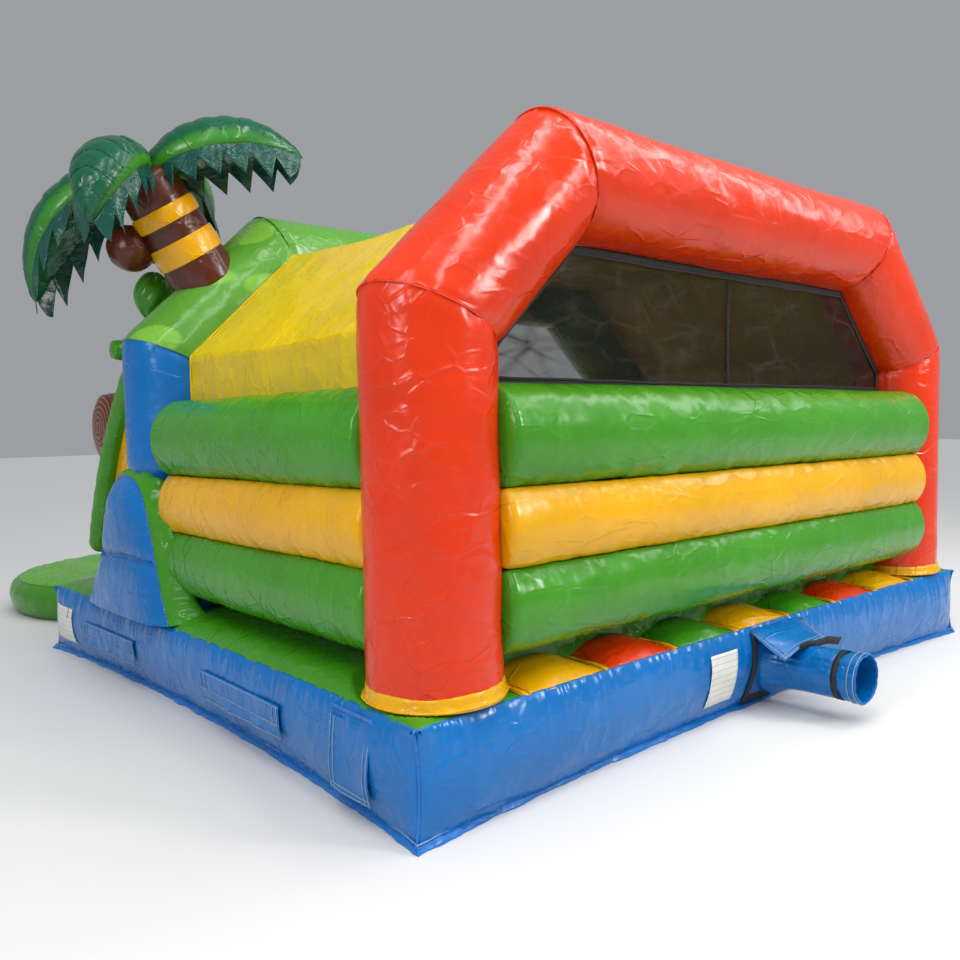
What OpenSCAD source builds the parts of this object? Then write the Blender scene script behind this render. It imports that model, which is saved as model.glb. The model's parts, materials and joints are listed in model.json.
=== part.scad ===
// Inflatable bounce house with a slide, a landing pad, a roof and a palm tree.
// Millimetres. Origin: centre of the base on the ground. +Z up, +Y to the back, where the air enters.

/* [Base] */
// Width of the inflated base
base_width = 5000; // [4800:100:5200]
// Depth of the inflated base, without the landing pad
base_depth = 4460; // [4400:20:4600]
// Height of the base at its seams
base_height = 465; // [440:5:520]
// How far the middle of each side is pulled in between the corners
side_bow = 60; // [0:5:80]
// Width of one of the seven inner floor chambers
chamber_width = 538; // [500:1:545]
// How far a floor chamber swells above its seams
chamber_crown = 30; // [10:5:40]

/* [Arches] */
// Radius of the arch tubes
arch_radius = 289; // [260:1:300]
// Half the distance between the posts of an arch, centre to centre
post_x = 2164; // [2100:1:2180]
// Distance of the back arch behind the origin
back_arch_y = 1931; // [1900:1:1940]
// Distance of the front arch behind the origin
front_arch_y = -687; // [-720:1:-650]
// Height where the posts bend inwards
bend_height = 2051; // [1980:1:2120]
// Height of the centre line of the top bars
top_height = 2738; // [2700:1:2800]
// Half the length of the top bars
top_half = 1433; // [1350:1:1480]

/* [Walls] */
// Radius of the lower and middle wall tubes
wall_radius = 215; // [205:1:220]
// Radius of the top wall tubes
wall_top_radius = 235; // [230:1:240]
// Height of the lower seam between wall tubes
low_seam_height = 1009; // [1000:1:1020]
// Height of the upper seam between wall tubes
high_seam_height = 1347; // [1340:1:1355]
// Height of the top of the walls
wall_top = 1788; // [1780:1:1800]
// How far the side walls stand outside the post centres
side_wall_out = 45; // [30:1:60]
// How far the back wall stands outside the post centres
back_wall_out = 95; // [80:1:100]

/* [Front] */
// Width of the slide between its rails
slide_width = 1100; // [1000:10:1120]
// Distance of the middle of the slide from the centre of the base
slide_x = 1160; // [1150:1:1165]
// Height of the platform at the top of the slide
platform_height = 1150; // [1000:10:1200]
// Radius of the round landing pad
pad_radius = 1175; // [1000:5:1250]
// Height of the landing pad
pad_height = 310; // [250:5:350]
// Radius of the log across the end of the slide
log_radius = 253; // [220:1:260]
// Height of the middle of the log
log_height = 1640; // [1620:5:1700]

/* [Air inlet] */
// Inner radius of the inflation tube
inlet_bore = 124; // [110:1:130]
// Length of the inflation tube outside the base
inlet_length = 540; // [400:10:700]
// Height of the centre of the inflation tube
inlet_height = 235; // [225:1:240]

/* [Palm tree] */
// Radius of the trunk
trunk_radius = 204; // [180:1:245]
// Length of the trunk from the middle of the arch tube
trunk_length = 900; // [800:10:950]
// Lean of the trunk away from upright, in degrees
trunk_lean = 33; // [25:0.5:36]
// Width of a leaf
leaf_width = 430; // [350:10:460]
// Half the thickness of a leaf
leaf_half = 130; // [100:5:140]

/* [Hidden] */

$fn = 96;

blue = "#0e5fb0";
red = "#e2380c";
green = "#4ba12a";
ochre = "#e8ae00";
roof_yellow = "#e5c000";
leaf_print = "#6bb04a";
palm_green = "#0b5a43";
brown = "#5a2a1c";

half_width = base_width / 2;
half_depth = base_depth / 2;

// Base layers, from the ground up
sheet_thick = 8;
hem_thick = 15;
hem_width = 150;
skirt_thick = 120;
deck_drop = 70;                                 // depth of the floor chambers' rims below the seams
skirt_top = base_height - deck_drop;
deck_top = base_height + chamber_crown;
edge_width = (base_width - 7 * chamber_width) / 2;
seam_xs = [for (i = [-3.5:1:3.5]) i * chamber_width];
chamber_colours = [green, ochre, red, green, ochre, green, red, ochre, green];
baffle_thick = 12;
band_width = 40;
band_thick = 6;                                 // also its height above the bottom of the valley it lies in

// Walls
side_wall_x = post_x + side_wall_out;
back_wall_y = back_arch_y + back_wall_out;
middle_axis_z = (low_seam_height + high_seam_height) / 2;
low_axis_z = low_seam_height - (high_seam_height - low_seam_height) / 2;
top_axis_z = wall_top - wall_top_radius;
wall_low_end = low_axis_z - wall_radius;
web_thick = 16;
side_wall_front = front_arch_y + 60;

// Arches: corner points of the centre line in the plane of the arch
slope_angle = atan2(top_height - bend_height, post_x - top_half);
slope_length = norm([post_x - top_half, top_height - bend_height]);
far = 3000;                                     // longer than any tube, for cutting solids

// Roof and window sheets
roof_thick = 12;
mesh_thick = 6;
binding_thick = 16;
binding_width = 46;
window_sill = top_axis_z + sqrt(pow(wall_top_radius, 2) - pow(back_wall_out, 2)) + 4;

// Inlet
inlet_x = -100;
inlet_radius = inlet_bore + 6;
back_face_y = half_depth - side_bow;            // middle of the bowed back of the skirt
blower_hinge_z = 452;
blower_flap_size = [520, 240, 6];
blower_flap_rest = 17;                          // slope below level while it lies on the tube
velcro_width = 45;
patch_thick = 6;

// Corner flap on the right side
corner_flap_y = [1630, 1945];
corner_flap_z = [90, 405];
corner_flap_x = half_width - 9;

// Front
pad_x = slide_x + 70;
pad_y = -half_depth - 1530;
pad_neck = 1400;
rail_thick = 150;
rail_height = 220;
slide_top_y = -1300;
platform_back_y = -500;
climb_foot_y = 150;
slide_foot_y = -half_depth + 50;
slide_foot_z = 545;
log_y = -1810;
log_ends = [40, 2230];
pillar_radius = 165;
pillar_xs = [250, 2035];
wing_x = [2075, 2250];                          // inner and outer face of a wing
wing_arc_centre = [943, -101];                  // in Y and Z
wing_arc_radius = 2843;
wing_arc = [134, 162];                          // from the post down to the foot, in degrees
rib_radius = 75;
rib_x = wing_x[1] + 45;

// Palm tree
coconut_radius = 150;
trunk_root = [(post_x + top_half) / 2, front_arch_y, (bend_height + top_height) / 2];
crown = trunk_root + trunk_length * [sin(trunk_lean), 0, cos(trunk_lean)];

// Outline of the base, with each side bowed inwards
function bow_side(a, b, inward, steps = 10) =
    [for (i = [0:steps - 1]) let (t = i / steps) a + (b - a) * t + inward * 4 * t * (1 - t)];
module base_outline(inset, bow = side_bow) {
    w = half_width - inset;
    d = half_depth - inset;
    polygon(concat(
        bow_side([-w, -d], [w, -d], [0, bow]), bow_side([w, -d], [w, d], [-bow, 0]),
        bow_side([w, d], [-w, d], [0, -bow]), bow_side([-w, d], [-w, -d], [bow, 0])));
}
module mirrored_x(side) { if (side > 0) children(); else mirror([1, 0, 0]) children(); }
// A prism along X from a polygon drawn in Y and Z
module side_prism(points, x1, x2)
    translate([x1, 0, 0]) rotate([90, 0, 90]) linear_extrude(x2 - x1) polygon(points);

// ---- Base
module groundsheet() { color(blue) linear_extrude(sheet_thick) base_outline(hem_width); }
module base_hem() {
    color(blue) linear_extrude(hem_thick) difference() { base_outline(0); base_outline(hem_width); }
}
module base_skirt() {
    color(blue) difference() {
        translate([0, 0, hem_thick]) linear_extrude(skirt_top - hem_thick)
            difference() { base_outline(6); base_outline(skirt_thick); }
        inlet_cylinder(inlet_radius);
    }
}
module floor_chamber(i) {
    inner = i > 1 && i < 9;
    w = inner ? chamber_width : edge_width;
    x = inner ? (i - 5) * chamber_width : sign(i - 5) * (half_width - edge_width / 2);
    crown_radius = (w * w / 4 + chamber_crown * chamber_crown) / (2 * chamber_crown);
    color(chamber_colours[i - 1]) intersection() {
        translate([x, half_depth, 0]) rotate([90, 0, 0]) linear_extrude(base_depth) intersection() {
            translate([-w / 2, skirt_top]) square([w, deck_drop + chamber_crown]);
            translate([0, deck_top - crown_radius]) circle(crown_radius, $fn = 720);
        }
        linear_extrude(deck_top + 10) base_outline(6);
    }
}
module floor_baffles() {
    color("dimgray") for (x = seam_xs)
        translate([x - baffle_thick / 2, -half_depth + 260, sheet_thick])
            cube([baffle_thick, base_depth - 520, skirt_top - sheet_thick]);
}
module floor_seam_bands() {
    color(ochre) for (x = seam_xs) difference() {
        translate([x - band_width / 2, -half_depth + 80, base_height + band_thick])
            cube([band_width, base_depth - 160, band_thick]);
        post_holes();
    }
}

// ---- Arches
module tube(length, r) { rotate([90, 0, 90]) cylinder(h = length, r = r); }
// Frames whose level plane is the mitre at the bend, and whose upright plane is the mitre at the top
module bend_frame() { translate([post_x, 0, bend_height]) rotate([0, -(90 - slope_angle) / 2, 0]) children(); }
module top_frame() { translate([top_half, 0, top_height]) rotate([0, slope_angle / 2, 0]) children(); }
module arch_post() {
    difference() {
        translate([post_x, 0, deck_top]) cylinder(h = bend_height - deck_top + arch_radius, r = arch_radius);
        bend_frame() translate([-far, -far / 2, 0]) cube([2 * far, far, far]);
    }
}
module slope_tube(extra)
    translate([post_x, 0, bend_height]) rotate([0, slope_angle - 180, 0]) translate([-extra, 0, 0])
        tube(slope_length + 2 * extra, arch_radius);
module arch_slope() {
    difference() {
        slope_tube(arch_radius);
        bend_frame() translate([-far, -far / 2, -far]) cube([2 * far, far, far]);
        top_frame() translate([-far, -far / 2, -far]) cube([far, far, 2 * far]);
    }
}
module arch_top_bar() {
    difference() {
        translate([-top_half - arch_radius, 0, top_height]) tube(2 * (top_half + arch_radius), arch_radius);
        for (s = [-1, 1]) mirrored_x(s) top_frame() translate([0, -far / 2, -far]) cube([far, far, 2 * far]);
    }
}
module at_arch(name) { translate([0, name == "back" ? back_arch_y : front_arch_y, 0]) children(); }
module arch_piece(name, piece, side = 1) {
    at_arch(name) mirrored_x(side) {
        if (piece == "post") arch_post();
        if (piece == "slope") arch_slope();
        if (piece == "top") arch_top_bar();
    }
}
module post_collars() {
    color(ochre) for (x = [-post_x, post_x]) translate([x, back_arch_y, deck_top]) difference() {
        cylinder(h = 60, r = arch_radius + 14);
        translate([0, 0, -1]) cylinder(h = 62, r = arch_radius);
    }
}

// ---- Walls
// One tube of a wall, drawn along X with its seams level at z1 and z2 and, if low, a web down to the floor
module wall_tube(length, axis_z, r, z1, z2) {
    rotate([90, 0, 90]) linear_extrude(length) intersection() {
        translate([0, axis_z]) circle(r);
        translate([-far / 2, z1]) square([far, z2 - z1]);
    }
}
module wall_level(length, level) {
    if (level == "low") {
        wall_tube(length, low_axis_z, wall_radius, wall_low_end - 1, low_seam_height);
        translate([0, -web_thick / 2, deck_top]) cube([length, web_thick, wall_low_end - deck_top + 12]);
    }
    if (level == "middle") wall_tube(length, middle_axis_z, wall_radius, low_seam_height, high_seam_height);
    if (level == "top") wall_tube(length, top_axis_z, wall_top_radius, high_seam_height, wall_top + 1);
}
module post_holes() {
    for (x = [-post_x, post_x], y = [back_arch_y, front_arch_y])
        translate([x, y, 0]) cylinder(h = far, r = arch_radius);
}
module wall_back(level) {
    difference() {
        translate([-post_x, back_wall_y, 0]) wall_level(2 * post_x, level);
        post_holes();
        post_collar_space();
    }
}
module wall_side(level, side) {
    mirrored_x(side) difference() {
        translate([side_wall_x, side_wall_front, 0]) rotate([0, 0, 90])
            wall_level(back_arch_y - side_wall_front, level);
        post_holes();
        post_collar_space();
        side_prism(buttress_profile(), 0, far);
    }
}
module post_collar_space() {
    for (x = [-post_x, post_x]) translate([x, back_arch_y, deck_top - 1]) cylinder(h = 62, r = arch_radius + 14);
}

// ---- Roof and window
roof_front = front_arch_y + arch_radius;
roof_back = back_arch_y - arch_radius;
module roof_top() {
    color(roof_yellow) translate([-top_half, roof_front, top_height])
        cube([2 * top_half, roof_back - roof_front, roof_thick]);
}
module roof_side(side) {
    outward = roof_thick;
    sill = top_axis_z + sqrt(pow(wall_top_radius, 2) - pow(side_wall_out, 2));
    color(roof_yellow) mirrored_x(side) difference() {
        translate([0, roof_back, 0]) rotate([90, 0, 0]) linear_extrude(roof_back - roof_front) polygon([
            [post_x, sill - 60], [post_x, bend_height], [top_half, top_height],
            [top_half, top_height + outward], [post_x + outward, bend_height + outward / 2],
            [post_x + outward, sill - 60]]);
        wall_side("top", 1);
    }
}
// Outline of the opening between the back arch and the wall, drawn in by inset
function window_points(inset) = let (
    r = arch_radius + inset,
    side = post_x - r,
    bend_z = bend_height - tan((90 - slope_angle) / 2) * r,
    top_x = top_half - tan(slope_angle / 2) * r,
    sill = window_sill + inset)
    [[-side, sill], [side, sill], [side, bend_z], [top_x, top_height - r], [-top_x, top_height - r], [-side, bend_z]];
module window_mesh() {
    color([0.1, 0.1, 0.1, 0.6]) translate([0, back_arch_y + mesh_thick / 2, 0]) rotate([90, 0, 0])
        linear_extrude(mesh_thick) polygon(window_points(binding_width));
}
module window_binding() {
    seam_width = 22;
    color("black") translate([0, back_arch_y + binding_thick / 2, 0]) rotate([90, 0, 0])
        linear_extrude(binding_thick) difference() {
            polygon(window_points(0));
            polygon(window_points(binding_width));
        }
    color("black") translate([-seam_width / 2, back_arch_y + mesh_thick / 2, window_sill + binding_width])
        cube([seam_width, 6, top_height - arch_radius - window_sill - 2 * binding_width]);
}

// ---- Air inlet, patches, flaps and labels
module inlet_cylinder(r)
    translate([inlet_x, back_face_y - skirt_thick - 100, inlet_height]) rotate([-90, 0, 0])
        cylinder(h = skirt_thick + 100 + inlet_length, r = r);
module inflation_tube() {
    color(blue) difference() {
        inlet_cylinder(inlet_radius);
        translate([0, -1, 0]) inlet_cylinder(inlet_bore);
        translate([0, 1, 0]) inlet_cylinder(inlet_bore);
    }
}
module blower_flap() {
    color(blue) translate([inlet_x, back_face_y + 8, blower_hinge_z]) rotate([-blower_flap_rest, 0, 0])
        translate([-blower_flap_size[0] / 2, 0, -blower_flap_size[2] / 2]) cube(blower_flap_size);
}
module back_strip(x1, x2, z1, z2)
    translate([x1, back_face_y, z1]) cube([x2 - x1, patch_thick, z2 - z1]);
module blower_velcro() {
    left = inlet_x + 225;
    right = inlet_x - 225;
    low = inlet_height - inlet_radius - 70;
    color("black") {
        back_strip(left, left + velcro_width, low, skirt_top);
        back_strip(right - velcro_width, right, low, skirt_top);
        back_strip(right, left, low, low + velcro_width);
    }
}
// A thin layer on the right side of the skirt
module side_layer(y1, y2, z1, z2) intersection() {
    translate([half_width - 2 * side_bow, y1, z1]) cube([2 * side_bow, y2 - y1, z2 - z1]);
    linear_extrude(base_height) difference() { base_outline(0); base_outline(patch_thick); }
}
module side_patches() {
    color(blue) for (s = [-1, 1], y = [[-1518, -670, 150], [290, 1180, 165]]) mirrored_x(s)
        side_layer(y[0], y[1], y[2], y[2] + 155);
}
module corner_flap() {
    color(blue) translate([corner_flap_x - 3, corner_flap_y[0], corner_flap_z[0]])
        cube([6, corner_flap_y[1] - corner_flap_y[0], corner_flap_z[1] - corner_flap_z[0]]);
}
module blank_labels() {
    color("whitesmoke") {
        back_strip(315, 560, 115, 385);
        side_layer(-2140, -1760, 120, 370);
    }
}

// ---- Buttresses
function buttress_profile() = [[-185, deck_top], [-1440, deck_top], [-1290, 780], [-1165, 900],
    [-1095, 1115], [-960, 1275], [-800, 1345], [-640, 1335], [-540, 1270], [-475, 1190], [-310, 780]];
module buttresses() {
    color(blue) for (s = [-1, 1]) mirrored_x(s) difference() {
        side_prism(buttress_profile(), wing_x[1] + 2, half_width - 28);
        post_holes();
    }
}

// ---- Slide and landing pad
module landing_pad() {
    color(green) {
        translate([pad_x, pad_y, 0]) cylinder(h = pad_height, r = pad_radius, $fn = 180);
        translate([pad_x - pad_neck / 2, pad_y, 0]) cube([pad_neck, -half_depth - pad_y - 1, pad_height]);
    }
}
module slide_ramp() {
    color(ochre) side_prism([[slide_foot_y, deck_top], [slide_foot_y, slide_foot_z],
        [slide_top_y, platform_height], [platform_back_y, platform_height], [climb_foot_y, deck_top]],
        slide_x - slide_width / 2, slide_x + slide_width / 2);
}
module slide_rails() {
    color(blue) for (x = [slide_x - slide_width / 2 - rail_thick, slide_x + slide_width / 2])
        side_prism([[slide_foot_y, deck_top], [slide_foot_y, slide_foot_z + rail_height],
            [slide_top_y, platform_height + rail_height], [front_arch_y - arch_radius - 20,
            platform_height + rail_height], [front_arch_y - arch_radius - 20, deck_top]], x, x + rail_thick);
}

// ---- Log, pillars and leaves at the front
module log_cylinder()
    translate([log_ends[0], log_y, log_height]) tube(log_ends[1] - log_ends[0], log_radius);
module log_beam() { color(brown) log_cylinder(); }
module log_pillars() {
    color(ochre) difference() {
        for (x = pillar_xs) translate([x, log_y, deck_top])
            cylinder(h = log_height - deck_top, r = pillar_radius);
        log_cylinder();
    }
}
function wing_section() = let (
    arc = [for (a = [wing_arc[1]:-2:wing_arc[0]]) wing_arc_centre + wing_arc_radius * [cos(a), sin(a)]])
    concat([[front_arch_y, deck_top], [arc[0][0] - 30, deck_top]], arc,
        [[front_arch_y, arc[len(arc) - 1][1]]]);
module front_wings() {
    color(ochre) for (s = [-1, 1]) mirrored_x(s) difference() {
        side_prism(wing_section(), wing_x[0], wing_x[1]);
        post_holes();
        translate([pillar_xs[1], log_y, 0]) cylinder(h = far, r = pillar_radius + 1);
    }
}
// A rib along the edge of each wing, with a bud and a shoot in front of the right post
module jungle_trim() {
    shoot_y = front_arch_y - arch_radius - 122;
    color(green) {
        for (s = [-1, 1]) mirrored_x(s) difference() {
            translate([rib_x, wing_arc_centre[0], wing_arc_centre[1]]) rotate([90, 0, 90])
                rotate([0, 0, wing_arc[0]]) rotate_extrude(angle = wing_arc[1] - wing_arc[0])
                    translate([wing_arc_radius, 0]) circle(rib_radius);
            side_prism(wing_section(), wing_x[0], wing_x[1]);
            post_holes();
        }
        translate([post_x - 60, shoot_y, 2520]) sphere(r = 120);
        translate([post_x - 160, shoot_y, 2135]) tube(396, 65);
    }
}

// ---- Palm tree
// Outline between two arcs from a to b, which stand low and high off the line a to b
function crescent(a, b, low, high, steps = 14) = let (
    d = b - a, side = [-d[1], d[0]] / norm(d),
    arc = function (h, t) a + d * t + side * h * sin(180 * t))
    concat([for (i = [0:steps]) arc(high, i / steps)], [for (i = [steps - 1:-1:1]) arc(low, i / steps)]);
module palm_trunk_solid(r, from, to)
    translate(trunk_root) rotate([0, trunk_lean, 0]) translate([0, 0, from]) cylinder(h = to - from, r = r);
module palm_trunk() {
    color(brown) difference() {
        palm_trunk_solid(trunk_radius, 0, trunk_length);
        arch_tube_space();
    }
}
module arch_tube_space() { at_arch("front") slope_tube(far); }
module palm_bands() {
    color(ochre) for (z = [[373, 140], [620, 100]]) difference() {
        palm_trunk_solid(trunk_radius + 6, z[0], z[0] + z[1]);
        palm_trunk_solid(trunk_radius, z[0] - 1, z[0] + z[1] + 1);
        arch_tube_space();
    }
}
module palm_coconuts() {
    color(brown) difference() {
        for (p = [[2324, -850, 2756], [2120, -1010, 2850]]) translate(p) sphere(r = coconut_radius);
        palm_trunk_solid(trunk_radius + 7, 0, trunk_length);
    }
}
// [direction in plan, first slope, last slope, length along the leaf]
leaf_shapes = [[150, 38, -22, 970], [40, 18, -93, 820], [-45, -12, -84, 1100], [-135, 25, -65, 1050]];
module palm_leaf(i) {
    s = leaf_shapes[i - 1];
    turn = s[1] - s[2];
    radius = s[3] / (turn * PI / 180);
    chord = 2 * radius * sin(turn / 2);
    sag = radius * (1 - cos(turn / 2));
    color(palm_green) difference() {
        translate(crown) rotate([0, 0, s[0]]) translate([40, 0, 40])
            rotate([0, -(s[1] + s[2]) / 2, 0]) intersection() {
                rotate([90, 0, 0]) translate([0, 0, -leaf_width / 2]) linear_extrude(leaf_width)
                    polygon(crescent([0, 0], [chord, 0], sag - leaf_half, sag + leaf_half));
                translate([0, 0, -far / 2]) linear_extrude(far)
                    polygon(crescent([0, 0], [chord, 0], -leaf_width / 2, leaf_width / 2));
            }
        palm_trunk_solid(trunk_radius + 7, 0, trunk_length);
    }
}

groundsheet();
base_hem();
base_skirt();
floor_chamber(1);  // floor_chamber_1
floor_chamber(2);  // floor_chamber_2
floor_chamber(3);  // floor_chamber_3
floor_chamber(4);  // floor_chamber_4
floor_chamber(5);  // floor_chamber_5
floor_chamber(6);  // floor_chamber_6
floor_chamber(7);  // floor_chamber_7
floor_chamber(8);  // floor_chamber_8
floor_chamber(9);  // floor_chamber_9
floor_baffles();
floor_seam_bands();
color(red) arch_piece("back", "post");  // back_arch_post_right
color(red) arch_piece("back", "post", -1);  // back_arch_post_left
color(red) arch_piece("back", "slope");  // back_arch_slope_right
color(red) arch_piece("back", "slope", -1);  // back_arch_slope_left
color(red) arch_piece("back", "top");  // back_arch_top_bar
color(blue) arch_piece("front", "post");  // front_arch_post_right
color(blue) arch_piece("front", "post", -1);  // front_arch_post_left
color(leaf_print) arch_piece("front", "slope");  // front_arch_slope_right
color(leaf_print) arch_piece("front", "slope", -1);  // front_arch_slope_left
color(leaf_print) arch_piece("front", "top");  // front_arch_top_bar
post_collars();
color(green) wall_back("low");  // wall_back_low
color(ochre) wall_back("middle");  // wall_back_middle
color(green) wall_back("top");  // wall_back_top
color(green) wall_side("low", 1);  // wall_right_low
color(ochre) wall_side("middle", 1);  // wall_right_middle
color(green) wall_side("top", 1);  // wall_right_top
color(green) wall_side("low", -1);  // wall_left_low
color(ochre) wall_side("middle", -1);  // wall_left_middle
color(green) wall_side("top", -1);  // wall_left_top
roof_top();
roof_side(1);  // roof_side_right
roof_side(-1);  // roof_side_left
window_mesh();
window_binding();
inflation_tube();
blower_flap();
blower_velcro();
side_patches();
corner_flap();
blank_labels();
buttresses();
landing_pad();
slide_ramp();
slide_rails();
log_beam();
log_pillars();
front_wings();
jungle_trim();
palm_trunk();
palm_bands();
palm_coconuts();
palm_leaf(1);  // palm_leaf_1
palm_leaf(2);  // palm_leaf_2
palm_leaf(3);  // palm_leaf_3
palm_leaf(4);  // palm_leaf_4
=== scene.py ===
"""Looks of the inflatable bounce house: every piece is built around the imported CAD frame."""

import json
import math

import bmesh
import bpy
import numpy as np
from mathutils import Matrix, Vector

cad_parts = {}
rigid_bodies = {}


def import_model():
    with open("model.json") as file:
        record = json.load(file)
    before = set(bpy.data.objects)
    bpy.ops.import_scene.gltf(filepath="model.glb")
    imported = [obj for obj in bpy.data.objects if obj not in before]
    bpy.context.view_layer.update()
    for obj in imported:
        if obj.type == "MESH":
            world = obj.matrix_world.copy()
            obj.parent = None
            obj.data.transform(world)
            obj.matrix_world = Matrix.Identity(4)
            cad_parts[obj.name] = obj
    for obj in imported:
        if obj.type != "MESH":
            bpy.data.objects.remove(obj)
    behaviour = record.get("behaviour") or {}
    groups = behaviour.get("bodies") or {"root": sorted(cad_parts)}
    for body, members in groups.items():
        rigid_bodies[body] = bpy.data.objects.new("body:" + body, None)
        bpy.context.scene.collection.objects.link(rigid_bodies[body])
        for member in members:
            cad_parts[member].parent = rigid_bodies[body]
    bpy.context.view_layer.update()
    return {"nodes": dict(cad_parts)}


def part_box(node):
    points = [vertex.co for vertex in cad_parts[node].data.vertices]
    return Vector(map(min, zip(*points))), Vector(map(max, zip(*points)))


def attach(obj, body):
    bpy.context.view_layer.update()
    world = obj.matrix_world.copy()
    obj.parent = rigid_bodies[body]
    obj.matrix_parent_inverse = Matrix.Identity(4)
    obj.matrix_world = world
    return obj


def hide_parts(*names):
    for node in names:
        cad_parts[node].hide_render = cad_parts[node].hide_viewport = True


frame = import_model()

HOUSE = "house"
TAU = 2 * math.pi

# ---------------------------------------------------------------- driving dimensions, from the frame
skirt_low, skirt_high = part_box("base_hem")
HALF_W = (skirt_high.x - skirt_low.x) / 2
HALF_D = (skirt_high.y - skirt_low.y) / 2
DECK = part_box("back_arch_post_right")[0].z            # top of the floor chambers
SEAM_Z = DECK - 0.03                                  # height of the floor seams
TOP_BOW, FOOT_BOW = 0.046, 0.13                       # how far the sides of the base are pulled in
CHAMBER_W = 0.538
CLOTH = 0.0025                                        # thickness of a single coated cloth
STITCH_R = 0.0022
BAND_STARTS = ((0.373, 0.140), (0.620, 0.100))        # distance up the trunk and width of the palm's bands
EDGE_W = HALF_W - 3.5 * CHAMBER_W


def middle(node):
    low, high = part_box(node)
    return (low + high) / 2


def size(node):
    low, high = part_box(node)
    return high - low


POST = middle("back_arch_post_right")
TUBE_R = size("back_arch_post_right").x / 2
BACK_Y, FRONT_Y = middle("back_arch_post_right").y, middle("front_arch_post_right").y
TOP_Z = middle("back_arch_top_bar").z
ROOF_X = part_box("roof_top")[1].x                      # where the roof and the arches bend a second time
BEND_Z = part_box("back_arch_post_right")[1].z - TUBE_R * math.tan(math.radians(90 - 43.24) / 2)
WALL_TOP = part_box("wall_back_top")[1].z


# ---------------------------------------------------------------- noise and mesh helpers
def value_noise(points, seed=0):
    """Smooth noise from -1 to 1 at each row of points."""
    p = np.asarray(points, float)
    cell = np.floor(p).astype(np.int64)
    f = p - cell
    f = f * f * (3 - 2 * f)

    def corner(dx, dy, dz):
        n = ((cell[..., 0] + dx) * 374761393 + (cell[..., 1] + dy) * 668265263
             + (cell[..., 2] + dz) * 915488749 + seed * 97463477) & 0xFFFFFFFF
        n = ((n ^ (n >> 13)) * 1274126177) & 0xFFFFFFFF
        return ((n ^ (n >> 16)) & 0xFFFF) / 32767.5 - 1

    out = 0
    for dx in (0, 1):
        for dy in (0, 1):
            for dz in (0, 1):
                w = ((f[..., 0] if dx else 1 - f[..., 0]) * (f[..., 1] if dy else 1 - f[..., 1])
                     * (f[..., 2] if dz else 1 - f[..., 2]))
                out = out + w * corner(dx, dy, dz)
    return out


def ridges(points, seed=0, sharp=2.0):
    """Noise with sharp crests, from 0 to 1, as creased cloth has."""
    return (1 - np.abs(value_noise(points, seed))) ** sharp


def xyz(x, y, z):
    """Points from three coordinates, each an array or one number."""
    return np.stack(np.broadcast_arrays(x, y, z), -1)


def unit(v):
    return v / np.maximum(np.linalg.norm(v, axis=-1, keepdims=True), 1e-9)


def circle(n):
    """n angles evenly round a circle."""
    return np.arange(n) / n * TAU


def smoothed(line, times):
    for _ in range(times):
        line[1:-1] = (line[:-2] + 2 * line[1:-1] + line[2:]) / 4
    return line


def lengths(line):
    """Distance along a line to each of its points."""
    return np.concatenate([[0], np.cumsum(np.linalg.norm(np.diff(line, axis=0), axis=1))])


def resampled(corners, n, times):
    """n even distances along a line through two-dimensional corners, and its smoothed points there."""
    s = lengths(corners)
    at = np.linspace(0, s[-1], n)
    return at, smoothed(np.stack([np.interp(at, s, corners[:, k]) for k in (0, 1)], 1), times)


def plane_normals(line):
    """Unit normals of a two-dimensional line, to its left."""
    tang = np.gradient(line, axis=0)
    return unit(np.stack([-tang[:, 1], tang[:, 0]], 1))


def make_piece(name, verts, faces, materials, slots=None, smooth=True):
    mesh = bpy.data.meshes.new(name)
    mesh.from_pydata([tuple(v) for v in verts], [], faces)
    for m in materials if isinstance(materials, (list, tuple)) else [materials]:
        mesh.materials.append(m)
    if slots is not None:
        mesh.polygons.foreach_set("material_index", slots)
    mesh.polygons.foreach_set("use_smooth", [smooth] * len(mesh.polygons))
    mesh.validate()
    mesh.update()
    obj = bpy.data.objects.new(name, mesh)
    bpy.context.scene.collection.objects.link(obj)
    return obj


def grid_faces(nu, nv, closed_v=False, start=0, flip=False):
    faces = []
    for i in range(nu - 1):
        for j in range(nv if closed_v else nv - 1):
            k = (j + 1) % nv
            quad = (start + i * nv + j, start + i * nv + k, start + (i + 1) * nv + k, start + (i + 1) * nv + j)
            faces.append(quad[::-1] if flip else quad)
    return faces


def grid_piece(name, p, material, closed_v=False, caps=False, flip=False, slots=None):
    nu, nv = p.shape[:2]
    faces = grid_faces(nu, nv, closed_v, flip=flip)
    verts = p.reshape(-1, 3)
    if caps:
        ends = [list(range(nv)), list(range((nu - 1) * nv, nu * nv))]
        faces += [ends[0][::1 if flip else -1], ends[1][::-1 if flip else 1]]
        if slots is not None:
            slots = list(slots) + [slots[0], slots[-1]]
    return make_piece(name, verts, faces, material, slots)


def fix_normals(obj):
    bm = bmesh.new()
    bm.from_mesh(obj.data)
    bmesh.ops.recalc_face_normals(bm, faces=bm.faces)
    bm.to_mesh(obj.data)
    bm.free()


def thicken(obj, thick):
    shell = obj.modifiers.new("cloth_thickness", "SOLIDIFY")
    shell.thickness, shell.offset = thick, 0


def join(name, objects):
    """One piece from several, which keep their materials."""
    for o in bpy.context.view_layer.objects:
        o.select_set(False)
    for o in objects:
        o.select_set(True)
    bpy.context.view_layer.objects.active = objects[0]
    bpy.ops.object.join()
    objects[0].name = name
    return objects[0]


def stands_for(obj, slot, *nodes, body=HOUSE):
    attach(obj, body)
    if nodes:
        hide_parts(*nodes)
    return obj


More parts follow.
